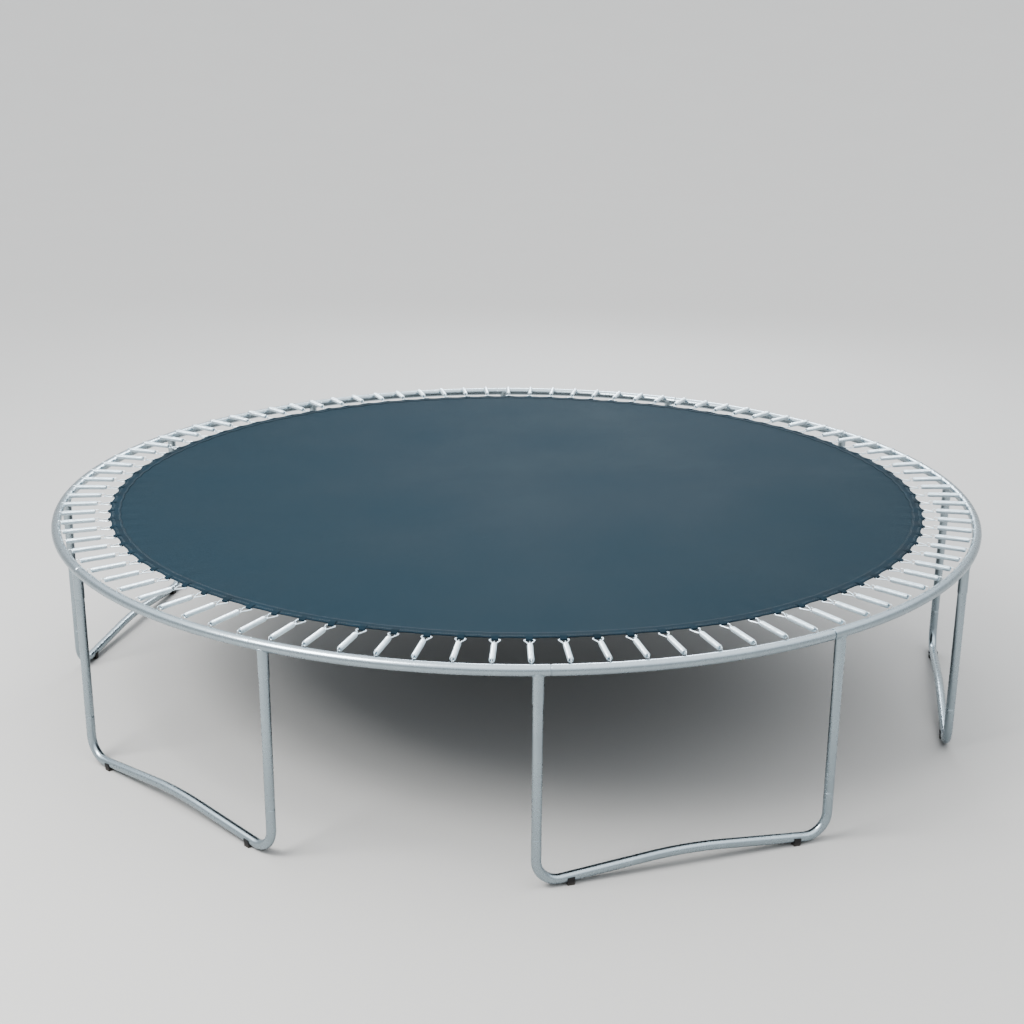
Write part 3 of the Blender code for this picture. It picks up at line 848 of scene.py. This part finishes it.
def foot_cap(number):
    """A clip round the tube's underside: an outline of outer points, down one side, along the level
    sole and up the other side, and inner points back round the tube, carried along the tube."""
    here = upright_centre(number)
    other = upright_centre(number + 1 if number % 2 == 0 else number - 1)
    towards = unit(other - here)
    half = np.linalg.norm(other - here) / 2
    radius = sizes().leg_diameter / 2
    reach = sizes().foot_from_leg + FOOT_LENGTH * FOOT_SHARES
    slope = sizes().base_rise / (half - sizes().bend_radius)
    low = BASE_LOW[2] + radius
    height = low + np.maximum(reach - sizes().bend_radius, 0) * slope
    grip = radius + TUBE_CLEARANCE
    turn = np.linspace(-FOOT_GRIP, FOOT_GRIP, FOOT_OUTLINE // 2)
    level = np.abs(turn) < SOLE_HALF
    rows = []
    for distance, middle, inset in zip(reach, height, FOOT_SHRINK):
        thick = grip + FOOT_THICKNESS - inset
        sole = np.clip(turn / SOLE_HALF, -1, 1) * (thick * math.sin(SOLE_HALF) + SOLE_OVER)
        side = np.where(level, sole, thick * np.sin(turn))
        lift = np.where(level, inset, middle - thick * np.cos(turn))
        outer = np.stack([side, np.maximum(lift, inset)], -1)
        inner = np.stack([grip * np.sin(turn[::-1]), middle - grip * np.cos(turn[::-1])], -1)
        outline = np.concatenate([outer, inner])
        across = np.cross(towards, UP)
        rows.append(here + distance * towards + outline[:, :1] * across + outline[:, 1:] * UP)
    count = FOOT_OUTLINE
    quads = grid_faces(len(rows), count, False, True)
    strip = np.arange(count // 2 - 1)
    end = np.stack([strip, strip + 1, count - 2 - strip, count - 1 - strip], -1)
    far_end = (end + (len(rows) - 1) * count)[:, ::-1]
    return np.concatenate(rows), np.vstack([quads, end, far_end]), None


def point_outwards(piece):
    """Turns the faces of a closed piece outwards."""
    mesh = bmesh.new()
    mesh.from_mesh(piece.data)
    bmesh.ops.recalc_face_normals(mesh, faces=mesh.faces)
    mesh.to_mesh(piece.data)
    mesh.free()


class TRAMPOLINE_OT_feet(bpy.types.Operator):
    """Build the black foot caps under the base tubes"""

    bl_idname = "trampoline.feet"
    bl_label = "Foot Caps"

    def execute(self, context):
        rubber = material_named("moulded_rubber", moulded_rubber)
        for number in range(UPRIGHTS):
            foot = piece_of(f"foot_clip_{number + 1:02d}", [foot_cap(number)], rubber)
            point_outwards(foot)
            set_sharp(foot, SOFT_SHARP)
            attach(foot, "frame")
            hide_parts(f"foot_cap_{number + 1:02d}")
        return {"FINISHED"}


# --- The springs and rings -----------------------------------------------------------------------------


COIL_STEPS = 11  # points in one turn of wire
WIRE_SIDES = 6
FIRST_COIL, LAST_COIL = 0.022, 0.170  # the coil's ends, from the rail's centre line
COIL_PITCH = 1.012  # distance from turn to turn, in wire diameters
COIL_OPENING = 0.35  # angle short of the top at which a hook's wire joins the coil
TAPER_TURNS = 2.0
TAPER = 0.76  # radius of an end turn as a share of the coil's
HOOK_DEPTH = 0.010  # where an outer hook starts, from the rail's centre line
HOOK_LOOP_R = 0.0085
LOOP_FROM, LOOP_TO = math.radians(118), math.radians(-140)  # where the open ring starts and ends
LOOP_STEPS = 20
ARCH_STEPS = 12
ARCH_REACH = 0.009  # how far the outer hook runs on before it turns, at both of its ends
ARCH_RISE = 0.0035  # how far it comes down on the coil from above
MEET_BEFORE = 0.003  # how far before the first turn the outer hook comes down to the coil's top
LEAD_STEPS = 7
LEAD_PULL, COIL_PULL = 0.0025, 0.002  # how far the wire runs on at the ends of a lead


def bezier(corners_in_plane, steps):
    """Points of the cubic curve with these four control points, (1-t)^3, 3t(1-t)^2, ..."""
    t = np.linspace(0, 1, steps)[:, None]
    a, b, c, d = (np.array(corner) for corner in corners_in_plane)
    return (1 - t) ** 3 * a + 3 * t * (1 - t) ** 2 * b + 3 * t**2 * (1 - t) * c + t**3 * d


def spring_part():
    """One spring that points to -X from the rail at +X, in the plane of angle 0. The wire rises out of
    the hole in the rail's crown, arches over to the top of the coil and winds round the axis side by
    side, as r cos w and r sin w, with r drawn in over the end turns. From the top of the last turn it
    runs round an open ring that holds the V-ring. Distances are measured from the rail's centre line."""
    wire, ring_wire = sizes().spring_wire, sizes().ring_wire
    coil_r = (sizes().spring_diameter - wire) / 2
    length = LAST_COIL - FIRST_COIL - wire
    turns = round(length / (wire * COIL_PITCH))
    top = math.pi / 2
    wound = top - COIL_OPENING + turns * math.tau
    winding = np.linspace(top + COIL_OPENING, wound, turns * COIL_STEPS + 1)
    share = np.linspace(0, 1, len(winding))
    full = smooth_step(np.minimum(share, 1 - share) * turns / TAPER_TURNS)
    radius = coil_r * (TAPER + (1 - TAPER) * full)
    radial = np.stack([np.zeros(len(winding)), np.cos(winding), np.sin(winding)], -1)
    coil = radius[:, None] * radial + (FIRST_COIL + wire / 2 + length * share)[:, None] * (1, 0, 0)
    lift = np.array((math.cos(HOOK_LIFT), 0.0, math.sin(HOOK_LIFT)))
    rail = np.array((0.0, 0.0, RAIL_Z - SPRING_Z))
    hole = rail + RAIL_R * lift
    meet = np.array((FIRST_COIL - MEET_BEFORE, 0.0, coil_r * TAPER))
    above = meet + (-ARCH_REACH, 0.0, ARCH_RISE)
    over = bezier((hole, hole + ARCH_REACH * lift, above, meet), ARCH_STEPS)
    arch = np.concatenate([[rail + HOOK_DEPTH * lift], over])
    drop = SPRING_Z - RING_Z
    middle = RAIL_CIRCLE - RING_TIP + ring_wire + wire / 2 - math.sqrt(HOOK_LOOP_R**2 - drop**2)
    bend = np.linspace(LOOP_FROM, LOOP_TO, LOOP_STEPS)
    circle = np.stack([np.cos(bend), np.zeros(LOOP_STEPS), np.sin(bend)], -1)
    loop = (middle, 0.0, 0.0) + HOOK_LOOP_R * circle
    onward, out = unit(coil[1] - coil[0]), unit(coil[-1] - coil[-2])
    rise = np.array((math.sin(bend[0]), 0.0, -math.cos(bend[0])))
    first, last = coil[0], coil[-1]
    in_corners = meet, meet + (LEAD_PULL, 0, 0), first - COIL_PULL * onward, first
    out_corners = last, last + COIL_PULL * out, loop[0] - COIL_PULL * rise, loop[0]
    lead_in, lead_out = (bezier(found, LEAD_STEPS)[1:-1] for found in (in_corners, out_corners))
    local = np.concatenate([arch, lead_in, coil, lead_out, loop])
    sideways = np.cross(tangents_of(local), (0.0, 1.0, 0.0))
    across = np.concatenate([
        sideways[: len(arch)],
        np.tile(radial[0], (len(lead_in), 1)),
        radial,
        np.tile(radial[-1], (len(lead_out), 1)),
        sideways[-len(loop):],
    ])
    flipped = np.array((-1.0, -1.0, 1.0))  # towards the mat is -X here
    centres = local * flipped + np.array((RAIL_CIRCLE, 0.0, SPRING_Z))
    radii = np.full(len(centres), wire / 2)
    return rod(centres, across * flipped, tangents_of(centres), radii, WIRE_SIDES)


class TRAMPOLINE_OT_springs(bpy.types.Operator):
    """Build the coil springs, each reaching between the frame and the mat"""

    bl_idname = "trampoline.springs"
    bl_label = "Springs"

    def execute(self, context):
        zinc = material_named("bright_zinc", bright_zinc)
        part = spring_part()
        for segment in range(SEGMENTS):
            for place, angle in enumerate(spring_angles(segment)):
                number = segment * SPRINGS_PER_SEGMENT + place + 1
                spring = piece_of(f"coil_spring_{number:02d}", [turned(part, angle)], zinc)
                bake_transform(spring)
                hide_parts(f"spring_set_{segment + 1:02d}")
        return {"FINISHED"}


def rounded_loop(corner_points, radii, steps):
    """A closed outline in a plane whose corners are arcs. Each arc touches both sides of its corner, and
    turns from its start to its end by sines of the shares of its opening."""
    found = []
    count = len(corner_points)
    for index, (corner, radius) in enumerate(zip(corner_points, radii)):
        before = unit(corner_points[index - 1] - corner)
        after = unit(corner_points[(index + 1) % count] - corner)
        half = math.acos(np.clip(before @ after, -1, 1)) / 2
        middle = corner + unit(before + after) * radius / math.sin(half)
        start = corner + before * radius / math.tan(half) - middle
        end = corner + after * radius / math.tan(half) - middle
        sweep = np.linspace(0, 1, steps)[:, None]
        opening = math.pi - 2 * half
        arc = np.sin((1 - sweep) * opening) * start + np.sin(sweep * opening) * end
        found.append(middle + arc / math.sin(opening))
    return np.concatenate(found)


RING_DEPTH = 0.047  # outer tip to the middle of the bar that the webbing tabs hold
RING_CORNERS = (0.0050, 0.0065, 0.0065)  # bend at the tip and at the two ends of the bar
RING_POINT = 0.004  # how far the sharp corner that the tip rounds stands past the wire's middle
CORNER_STEPS = 9
RING_SIDES = 10


def ring_part():
    """One V-ring at angle 0, in its level plane: a narrow tip at the hook, two arms, and the bar that a
    webbing tab holds, with rounded corners."""
    wire = sizes().ring_wire
    tip, bar = RING_TIP - wire / 2, RING_TIP - RING_DEPTH
    half = sizes().ring_width / 2
    outline = np.array(((tip + RING_POINT, 0.0), (bar, half), (bar, -half)))
    path = rounded_loop(outline, RING_CORNERS, CORNER_STEPS)
    centres = np.column_stack([path, np.full(len(path), RING_Z)])
    return loop_of_wire(centres, UP, wire / 2, RING_SIDES)


class TRAMPOLINE_OT_rings(bpy.types.Operator):
    """Build the V-rings that the springs hook into, one set beside each rail segment"""

    bl_idname = "trampoline.rings"
    bl_label = "V-Rings"

    def execute(self, context):
        zinc = material_named("bright_zinc", bright_zinc)
        part = ring_part()
        for segment in range(SEGMENTS):
            rings = [turned(part, angle) for angle in spring_angles(segment)]
            piece = piece_of(f"v_ring_set_{segment + 1:02d}", rings, zinc, "mat")
            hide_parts("edge_webbing")
        return {"FINISHED"}


# --- The mat and its edge ----------------------------------------------------------------------------------


SCALLOP = 0.005  # how far the edge draws back between two rings
EDGE_OUT = 0.003  # how far it stands out at a ring
MAT_COLUMNS = SPRINGS * 6
MAT_Z = (MAT_LOW[2] + MAT_HIGH[2]) / 2
MAT_HALF = 0.0008  # half the cloth's thickness
SAG = 0.006
SLOW_WAVE = 0.0011
PUCKER = 0.0022
PUCKER_REACH = 0.20
FOLD_SHARE = 0.86  # share of the mat's radius from which its rows stand closer


def edge_wave(angles):
    """1 at each ring and 0 midway between two."""
    return 0.5 + 0.5 * np.cos((angles - FIRST_ANGLE) * SPRINGS - math.pi)


def edge_radius(angles):
    """The mat's radius, less the scallop times the wave's distance from a ring to the power 1.5."""
    return MAT_R + EDGE_OUT - SCALLOP * (1 - edge_wave(angles)) ** 1.5


def mat_height(radius, angles):
    """Height over the mat's plane: a sag that goes with the square of the radius, slow waves round the
    mat that grow with its sixth power, and gathers that run in from the rings and fade out."""
    share = radius / MAT_R
    random = np.random.default_rng(14)
    sag = -SAG * (1 - share**2)
    waves = np.zeros(np.broadcast(radius, angles).shape)
    for count in (3, 5, 8, 13):
        height = SLOW_WAVE * random.uniform(0.4, 1.0)
        waves += height * np.sin(count * angles + random.uniform(0, math.tau)) * share**6
    strength = 0.35 + 0.65 * np.abs(np.sin(angles * 7.3 + 0.6) * np.sin(angles * 3.1 + 2.0))
    fade = smooth_step((radius - (MAT_R - PUCKER_REACH)) / PUCKER_REACH)
    gathers = PUCKER * strength * fade * (edge_wave(angles) - 0.5)
    finer = 0.35 * PUCKER * strength * fade * np.sin(angles * SPRINGS * 2.5 + 4 * np.sin(angles * 5))
    return sag + waves + gathers + finer


def mat_part():
    """The mat as a thin closed shell on a polar grid: over the top from the middle to the edge, and
    back underneath to the middle."""
    angles = np.arange(MAT_COLUMNS) * math.tau / MAT_COLUMNS
    outer = FOLD_SHARE + (1 - FOLD_SHARE) * np.linspace(0, 1, 19)[1:]
    share = np.concatenate([np.linspace(0.012, FOLD_SHARE, 22), outer])
    edge = edge_radius(angles)
    radius = share[:, None] * MAT_R + smooth_step((share[:, None] - 0.95) / 0.05) * (edge - MAT_R)
    middle = MAT_Z + mat_height(radius, angles[None, :])
    x, y = radius * np.cos(angles), radius * np.sin(angles)
    top = np.stack([x, y, middle + MAT_HALF], -1)
    under = np.stack([x, y, middle - MAT_HALF], -1)[::-1]
    rows = np.concatenate([top, under])
    centre = middle[0].mean()
    poles = [[0, 0, centre + MAT_HALF], [0, 0, centre - MAT_HALF]]
    points = np.vstack([rows.reshape(-1, 3), poles])
    column = np.arange(MAT_COLUMNS)
    after = (column + 1) % MAT_COLUMNS
    last = (len(rows) - 1) * MAT_COLUMNS
    total = len(rows) * MAT_COLUMNS
    top_fan = np.stack([np.full(MAT_COLUMNS, total), column, after], -1)
    under_fan = np.stack([np.full(MAT_COLUMNS, total + 1), last + after, last + column], -1)
    fans = np.vstack([top_fan, under_fan])
    return points, grid_faces(len(rows), MAT_COLUMNS, False, True), fans


BAND_THICKNESS = 0.0012
BAND_TURN = 9  # points round the fold
BAND_STEPS = 9  # points across the band
BAND_STEP = 0.0035  # what a row of the band's grid measures on its map
FOLD_OUT = 0.0016  # how far the fold stands out past the mat's edge
LAYER_GAP = 0.0004  # between two layers of cloth that lie on each other


def band_part(width):
    """Webbing folded over the mat's edge. Its section is a flat U: over the mat, round a half circle
    outside the edge, and back underneath, with the same U a thickness further in as its other side."""
    angles = np.arange(MAT_COLUMNS) * math.tau / MAT_COLUMNS
    edge = edge_radius(angles)
    base = MAT_Z + mat_height(edge - width / 2, angles)
    straight = np.linspace(1, 0, BAND_STEPS)
    turn = np.linspace(math.pi / 2, -math.pi / 2, BAND_TURN)
    sections = []
    for offset in (BAND_THICKNESS, 0.0):
        lie = MAT_HALF + LAYER_GAP + offset
        high, low = base + lie, base - lie
        centre, half = (high + low) / 2, (high - low) / 2
        top_r = edge[None] - straight[:, None] * width
        rows_top = np.stack([top_r, np.broadcast_to(high, top_r.shape)], -1)
        bend_r = edge[None] + (FOLD_OUT + offset) * np.cos(turn)[:, None]
        rows_bend = np.stack([bend_r, centre + half * np.sin(turn)[:, None]], -1)
        rows_under = np.stack([top_r[::-1], np.broadcast_to(low, top_r.shape)], -1)
        sections.append(np.concatenate([rows_top, rows_bend[1:-1], rows_under]))
    outline = np.concatenate([sections[0], sections[1][::-1]])
    radius, height = outline[..., 0], outline[..., 1]
    return np.stack([radius * np.cos(angles), radius * np.sin(angles), height], -1)


TAB_WIDTH, TAB_THICKNESS = 0.026, 0.0014
TAB_INSET = 0.016  # sewn length of a tab, in from the mat's edge
TAB_OVER = 0.001  # how far it lies flat past that edge
TAB_TURN = 11  # points round the ring's bar
TAB_WRAP = math.radians(100)  # how far the tab wraps round the bar each way from outside
TAB_STEPS = 4  # points along the sewn length
TAB_STEP = 0.0025  # what a station of a tab measures on its map
TAB_CLEARANCE = 0.0002  # between the tab and the bar


def tab_part():
    """One webbing tab at each ring: a flat strip, with a thin rectangle as its section, carried from
    the top of the band, round the ring's bar in a half circle and back to the band's underside."""
    angles = FIRST_ANGLE + (np.arange(SPRINGS) + 0.5) * SPRING_ANGLE
    middle = MAT_Z + mat_height(np.full(SPRINGS, MAT_R - TAB_INSET / 2), angles)
    lie = MAT_HALF + LAYER_GAP + BAND_THICKNESS + TAB_THICKNESS / 2
    wrap = sizes().ring_wire / 2 + TAB_THICKNESS / 2 + TAB_CLEARANCE
    turn = np.linspace(TAB_WRAP, -TAB_WRAP, TAB_TURN)
    bar = RING_TIP - RING_DEPTH
    inner = np.linspace(MAT_R - TAB_INSET, MAT_R + TAB_OVER, TAB_STEPS)
    reach = np.concatenate([inner, bar + wrap * np.cos(turn), inner[::-1]])
    height = np.concatenate([
        np.repeat(middle[:, None] + lie, TAB_STEPS, axis=1),
        np.broadcast_to(RING_Z + wrap * np.sin(turn), (SPRINGS, TAB_TURN)),
        np.repeat(middle[:, None] - lie, TAB_STEPS, axis=1),
    ], axis=1)
    path = np.stack([np.broadcast_to(reach, height.shape), height], -1)
    tangent = unit(np.gradient(path, axis=1))
    normal = np.stack([-tangent[..., 1], tangent[..., 0]], -1)
    corner = np.array(((1, 1), (1, -1), (-1, -1), (-1, 1))) / 2
    flat = path[:, :, None] + normal[:, :, None] * (corner[:, :1] * TAB_THICKNESS)
    across = np.broadcast_to(corner[:, 1] * TAB_WIDTH, flat.shape[:3])
    c, s = np.cos(angles)[:, None, None], np.sin(angles)[:, None, None]
    out, up = flat[..., 0], flat[..., 1]
    points = np.stack([out * c - across * s, out * s + across * c, up], -1)
    stations = len(reach)
    last = (stations - 1) * 4
    ends = np.array(((3, 2, 1, 0), (last, last + 1, last + 2, last + 3)))
    faces = np.vstack([grid_faces(stations, 4, False, True), ends])
    quads = (faces + np.arange(SPRINGS)[:, None, None] * stations * 4).reshape(-1, 4)
    return (points.reshape(-1, 3), quads, None), stations


def add_tab_map(piece, stations):
    """The tabs' UV map in metres: across the strip, and along it by the number of the station."""
    corner = np.empty(len(piece.data.loops), np.int32)
    piece.data.loops.foreach_get("vertex_index", corner)
    side = (corner % 4 == 1) | (corner % 4 == 2)
    along = corner // 4 % stations * TAB_STEP
    layer = piece.data.uv_layers.new(name="band")
    layer.data.foreach_set("uv", np.stack([side * TAB_WIDTH, along], -1).astype(np.float32).ravel())


def add_band_map(piece, rows):
    """A UV map in metres: round the mat, and across the band along its section."""
    mesh = piece.data
    corner = np.empty(len(mesh.loops), np.int32)
    mesh.loops.foreach_get("vertex_index", corner)
    row, column = corner // MAT_COLUMNS, corner % MAT_COLUMNS
    columns = column.reshape(-1, 4)
    wraps = (columns == 0) & (columns.max(axis=1) == MAT_COLUMNS - 1)[:, None]
    around = np.where(wraps, MAT_COLUMNS, columns).ravel() * math.tau * MAT_R / MAT_COLUMNS
    rows_of_face = row.reshape(-1, 4)
    wraps = (rows_of_face == 0) & (rows_of_face.max(axis=1) == rows - 1)[:, None]
    across = np.where(wraps, rows, rows_of_face).ravel() * BAND_STEP
    layer = mesh.uv_layers.new(name="band")
    layer.data.foreach_set("uv", np.stack([around, across], -1).astype(np.float32).ravel())


STITCH_LENGTH, STITCH_GAP = 0.0065, 0.0035
STITCH_R = 0.0006
STITCH_SIDES = 4
STITCH_SHARES = np.array((-0.5, -0.36, 0.0, 0.36, 0.5))  # stations, in stitch lengths
STITCH_LIFT = np.array((-0.0010, 0.0001, 0.0004, 0.0001, -0.0010))
STITCH_FOLLOWS = 0.6  # how much of the edge's scallop a row follows
OUTER_ROWS = (0.006, 0.011)  # in from the mat's edge
INNER_ROWS = (0.010, 0.005)  # out from the band's inner edge


def stitches(inset, height):
    """One row of lockstitches round the band: each is a short thread that dips into the cloth at both
    ends. The whole row is one array of the same stitch, turned to its place."""
    radius = MAT_R - inset
    count = int(math.tau * radius / (STITCH_LENGTH + STITCH_GAP))
    angle = np.arange(count) * math.tau / count
    along = STITCH_SHARES * STITCH_LENGTH
    sides = STITCH_SIDES
    spin = np.arange(sides) * math.tau / sides
    drawn = edge_radius(angle) - MAT_R - EDGE_OUT
    out = radius + drawn[:, None, None] * STITCH_FOLLOWS + STITCH_R * np.cos(spin)
    middle = MAT_Z + mat_height(radius, angle)
    up = middle[:, None, None] + height + STITCH_LIFT[:, None] + STITCH_R * np.sin(spin)
    turn = angle[:, None, None] + (along / radius)[:, None]
    out = np.broadcast_to(out, (count, len(along), sides))
    turn = np.broadcast_to(turn, (count, len(along), sides))
    points = np.stack([out * np.cos(turn), out * np.sin(turn), up], -1)
    faces = grid_faces(len(along), sides, False, True)
    offsets = np.arange(count)[:, None, None] * len(along) * sides
    quads = (faces + offsets).reshape(-1, 4)
    side = np.arange(1, sides - 1)
    fan = np.stack([np.zeros(sides - 2, int), side, side + 1], -1)
    far = fan[:, ::-1] + (len(along) - 1) * sides
    triangles = (np.vstack([fan, far]) + offsets).reshape(-1, 3)
    return points.reshape(-1, 3), quads, triangles


class TRAMPOLINE_OT_mat(bpy.types.Operator):
    """Build the woven mat, the webbing folded over its edge, and the stitching"""

    bl_idname = "trampoline.mat"
    bl_label = "Mat"

    def execute(self, context):
        width = sizes().band_width
        mat = piece_of("mat_sheet", [mat_part()], material_named("woven_mat", woven_mat))
        point_outwards(mat)
        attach(mat, "mat")
        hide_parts("jump_mat")
        rows = band_part(width)
        part = rows.reshape(-1, 3), grid_faces(len(rows), MAT_COLUMNS, True, True), None
        band = piece_of("edge_band", [part], material_named("folded_webbing", folded_webbing))
        add_band_map(band, len(rows))
        point_outwards(band)
        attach(band, "mat")
        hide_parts("edge_webbing")
        part, stations = tab_part()
        tabs = piece_of("edge_tabs", [part], material_named("folded_webbing", folded_webbing))
        add_tab_map(tabs, stations)
        point_outwards(tabs)
        set_sharp(tabs, SOFT_SHARP)
        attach(tabs, "mat")
        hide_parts("edge_webbing")
        height = MAT_HALF + BAND_THICKNESS + LAYER_GAP
        insets = (*OUTER_ROWS, *(width - row for row in INNER_ROWS))
        rows = [stitches(inset, height) for inset in insets]
        seam = piece_of("edge_stitching", rows, material_named("stitch_thread", stitch_thread))
        point_outwards(seam)
        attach(seam, "mat")
        return {"FINISHED"}


# --- The stage --------------------------------------------------------------------------------------------


CAMERA_AT = (-2.180, -6.550, SPRING_Z + 2.074)
CAMERA_HEADING = math.radians(18.24)  # from +Y towards +X
CAMERA_DOWN = math.radians(17.67)
CAMERA_ROLL = math.radians(0.37)
CAMERA_LENS = 53.04  # mm, on a 36 mm sensor
FLOOR_FLAT, FLOOR_EDGE, FLOOR_LIFT = 24.0, 80.0, 34.0  # level part's and rim's radii, rim's height
FLOOR_SPOKES = 96
SKY_STRENGTH = 2.2
SKY_LOW, SKY_HIGH = (0.20, 0.25, 0.31, 1.0), (1.0, 1.0, 1.0, 1.0)
LIGHT_WIDTH = 3.0


def floor_part():
    """A round floor that turns up far away, so that no line shows behind: level out to its flat radius,
    then the square of the share of the way to its edge times its lift."""
    rising = np.linspace(FLOOR_FLAT, FLOOR_EDGE, 40)[1:]
    radius = np.concatenate([np.linspace(0.5, FLOOR_FLAT, 12), rising])
    height = FLOOR_LIFT * np.clip((radius - FLOOR_FLAT) / (FLOOR_EDGE - FLOOR_FLAT), 0, 1) ** 2
    count = FLOOR_SPOKES
    angle = np.arange(count) * math.tau / count
    rings = np.stack([
        radius[:, None] * np.cos(angle), radius[:, None] * np.sin(angle),
        np.broadcast_to(height[:, None], (len(radius), count)),
    ], -1)
    points = np.vstack([rings.reshape(-1, 3), np.zeros((1, 3))])
    side = np.arange(count)
    fan = np.stack([np.full(count, len(points) - 1), side, (side + 1) % count], -1)
    return points, grid_faces(len(radius), count, False, True), fan


def add_sky(world):
    """A sky that is bright overhead and darker towards the horizon, by the height of the direction."""
    world.use_nodes = True
    tree = world.node_tree
    where = add_node(tree, "ShaderNodeTexCoord").outputs["Generated"]
    height = add_node(tree, "ShaderNodeSeparateXYZ", (("Vector", where),)).outputs["Z"]
    share = ranged(tree, height, 0.05, 0.85, 0.0, 1.0)
    sky = tree.nodes["Background"]
    tree.links.new(mixed(tree, share, SKY_LOW, SKY_HIGH), sky.inputs["Color"])
    sky.inputs["Strength"].default_value = SKY_STRENGTH


def add_light(name, place, target, power, colour):
    """A square soft light that faces its target."""
    data = bpy.data.lights.new(name, "AREA")
    data.shape, data.size, data.energy, data.color = "SQUARE", LIGHT_WIDTH, power, colour
    light = bpy.data.objects.new(name, data)
    light.location = place
    light.rotation_euler = (Vector(target) - Vector(place)).to_track_quat("-Z", "Y").to_euler()
    bpy.context.scene.collection.objects.link(light)


class TRAMPOLINE_OT_stage(bpy.types.Operator):
    """Set up the pale floor, the soft lights, the sky light and the camera"""

    bl_idname = "trampoline.stage"
    bl_label = "Studio"

    def execute(self, context):
        pale = material_named("studio_floor", studio_floor)
        floor = piece_of("studio_floor", [floor_part()], pale)
        context.scene.world = bpy.data.worlds.new("studio")
        add_sky(context.scene.world)
        middle = (0, 0, 0.8)
        add_light("key", (-5.0, -2.0, 6.0), middle, 600, (1.0, 0.98, 0.95))
        add_light("back", (3.0, 6.5, 5.0), middle, 260, (0.92, 0.96, 1.0))
        data = bpy.data.cameras.new("camera")
        data.lens = CAMERA_LENS
        data.clip_end = 4 * FLOOR_EDGE
        camera = bpy.data.objects.new("camera", data)
        camera.location = CAMERA_AT
        turn = Euler((math.pi / 2 - CAMERA_DOWN, 0.0, -CAMERA_HEADING), "XYZ").to_matrix()
        roll = Euler((0.0, 0.0, CAMERA_ROLL), "XYZ").to_matrix()
        camera.rotation_euler = (turn @ roll).to_euler()
        context.scene.collection.objects.link(camera)
        context.scene.camera = camera
        context.scene.view_settings.view_transform = "AgX"
        context.scene.view_settings.look = "AgX - Medium High Contrast"
        return {"FINISHED"}


class TRAMPOLINE_PT_sidebar(bpy.types.Panel):
    """The sizes, the colours and a button for each operator"""

    bl_idname = "TRAMPOLINE_PT_sidebar"
    bl_label = "Trampoline"
    bl_space_type = "VIEW_3D"
    bl_region_type = "UI"
    bl_category = "Trampoline"

    def draw(self, context):
        layout = self.layout
        for group in (context.scene.trampoline_sizes, context.scene.trampoline_colours):
            column = layout.column()
            for key in group.__annotations__:
                column.prop(group, key)
        for operator in OPERATORS:
            layout.operator(operator.bl_idname)


OPERATORS = (
    TRAMPOLINE_OT_stage,
    TRAMPOLINE_OT_rails,
    TRAMPOLINE_OT_sockets,
    TRAMPOLINE_OT_uprights,
    TRAMPOLINE_OT_bases,
    TRAMPOLINE_OT_feet,
    TRAMPOLINE_OT_springs,
    TRAMPOLINE_OT_rings,
    TRAMPOLINE_OT_mat,
)
CLASSES = (TrampolineSizes, TrampolineColours, *OPERATORS, TRAMPOLINE_PT_sidebar)


def register():
    for cls in CLASSES:
        bpy.utils.register_class(cls)
    bpy.types.Scene.trampoline_sizes = bpy.props.PointerProperty(type=TrampolineSizes)
    bpy.types.Scene.trampoline_colours = bpy.props.PointerProperty(type=TrampolineColours)


def unregister():
    del bpy.types.Scene.trampoline_colours
    del bpy.types.Scene.trampoline_sizes
    for cls in reversed(CLASSES):
        bpy.utils.unregister_class(cls)


def main():
    register()
    bpy.ops.trampoline.stage()
    bpy.ops.trampoline.rails()
    bpy.ops.trampoline.sockets()
    bpy.ops.trampoline.uprights()
    bpy.ops.trampoline.bases()
    bpy.ops.trampoline.feet()
    bpy.ops.trampoline.springs()
    bpy.ops.trampoline.rings()
    bpy.ops.trampoline.mat()


if __name__ == "__main__":
    main()
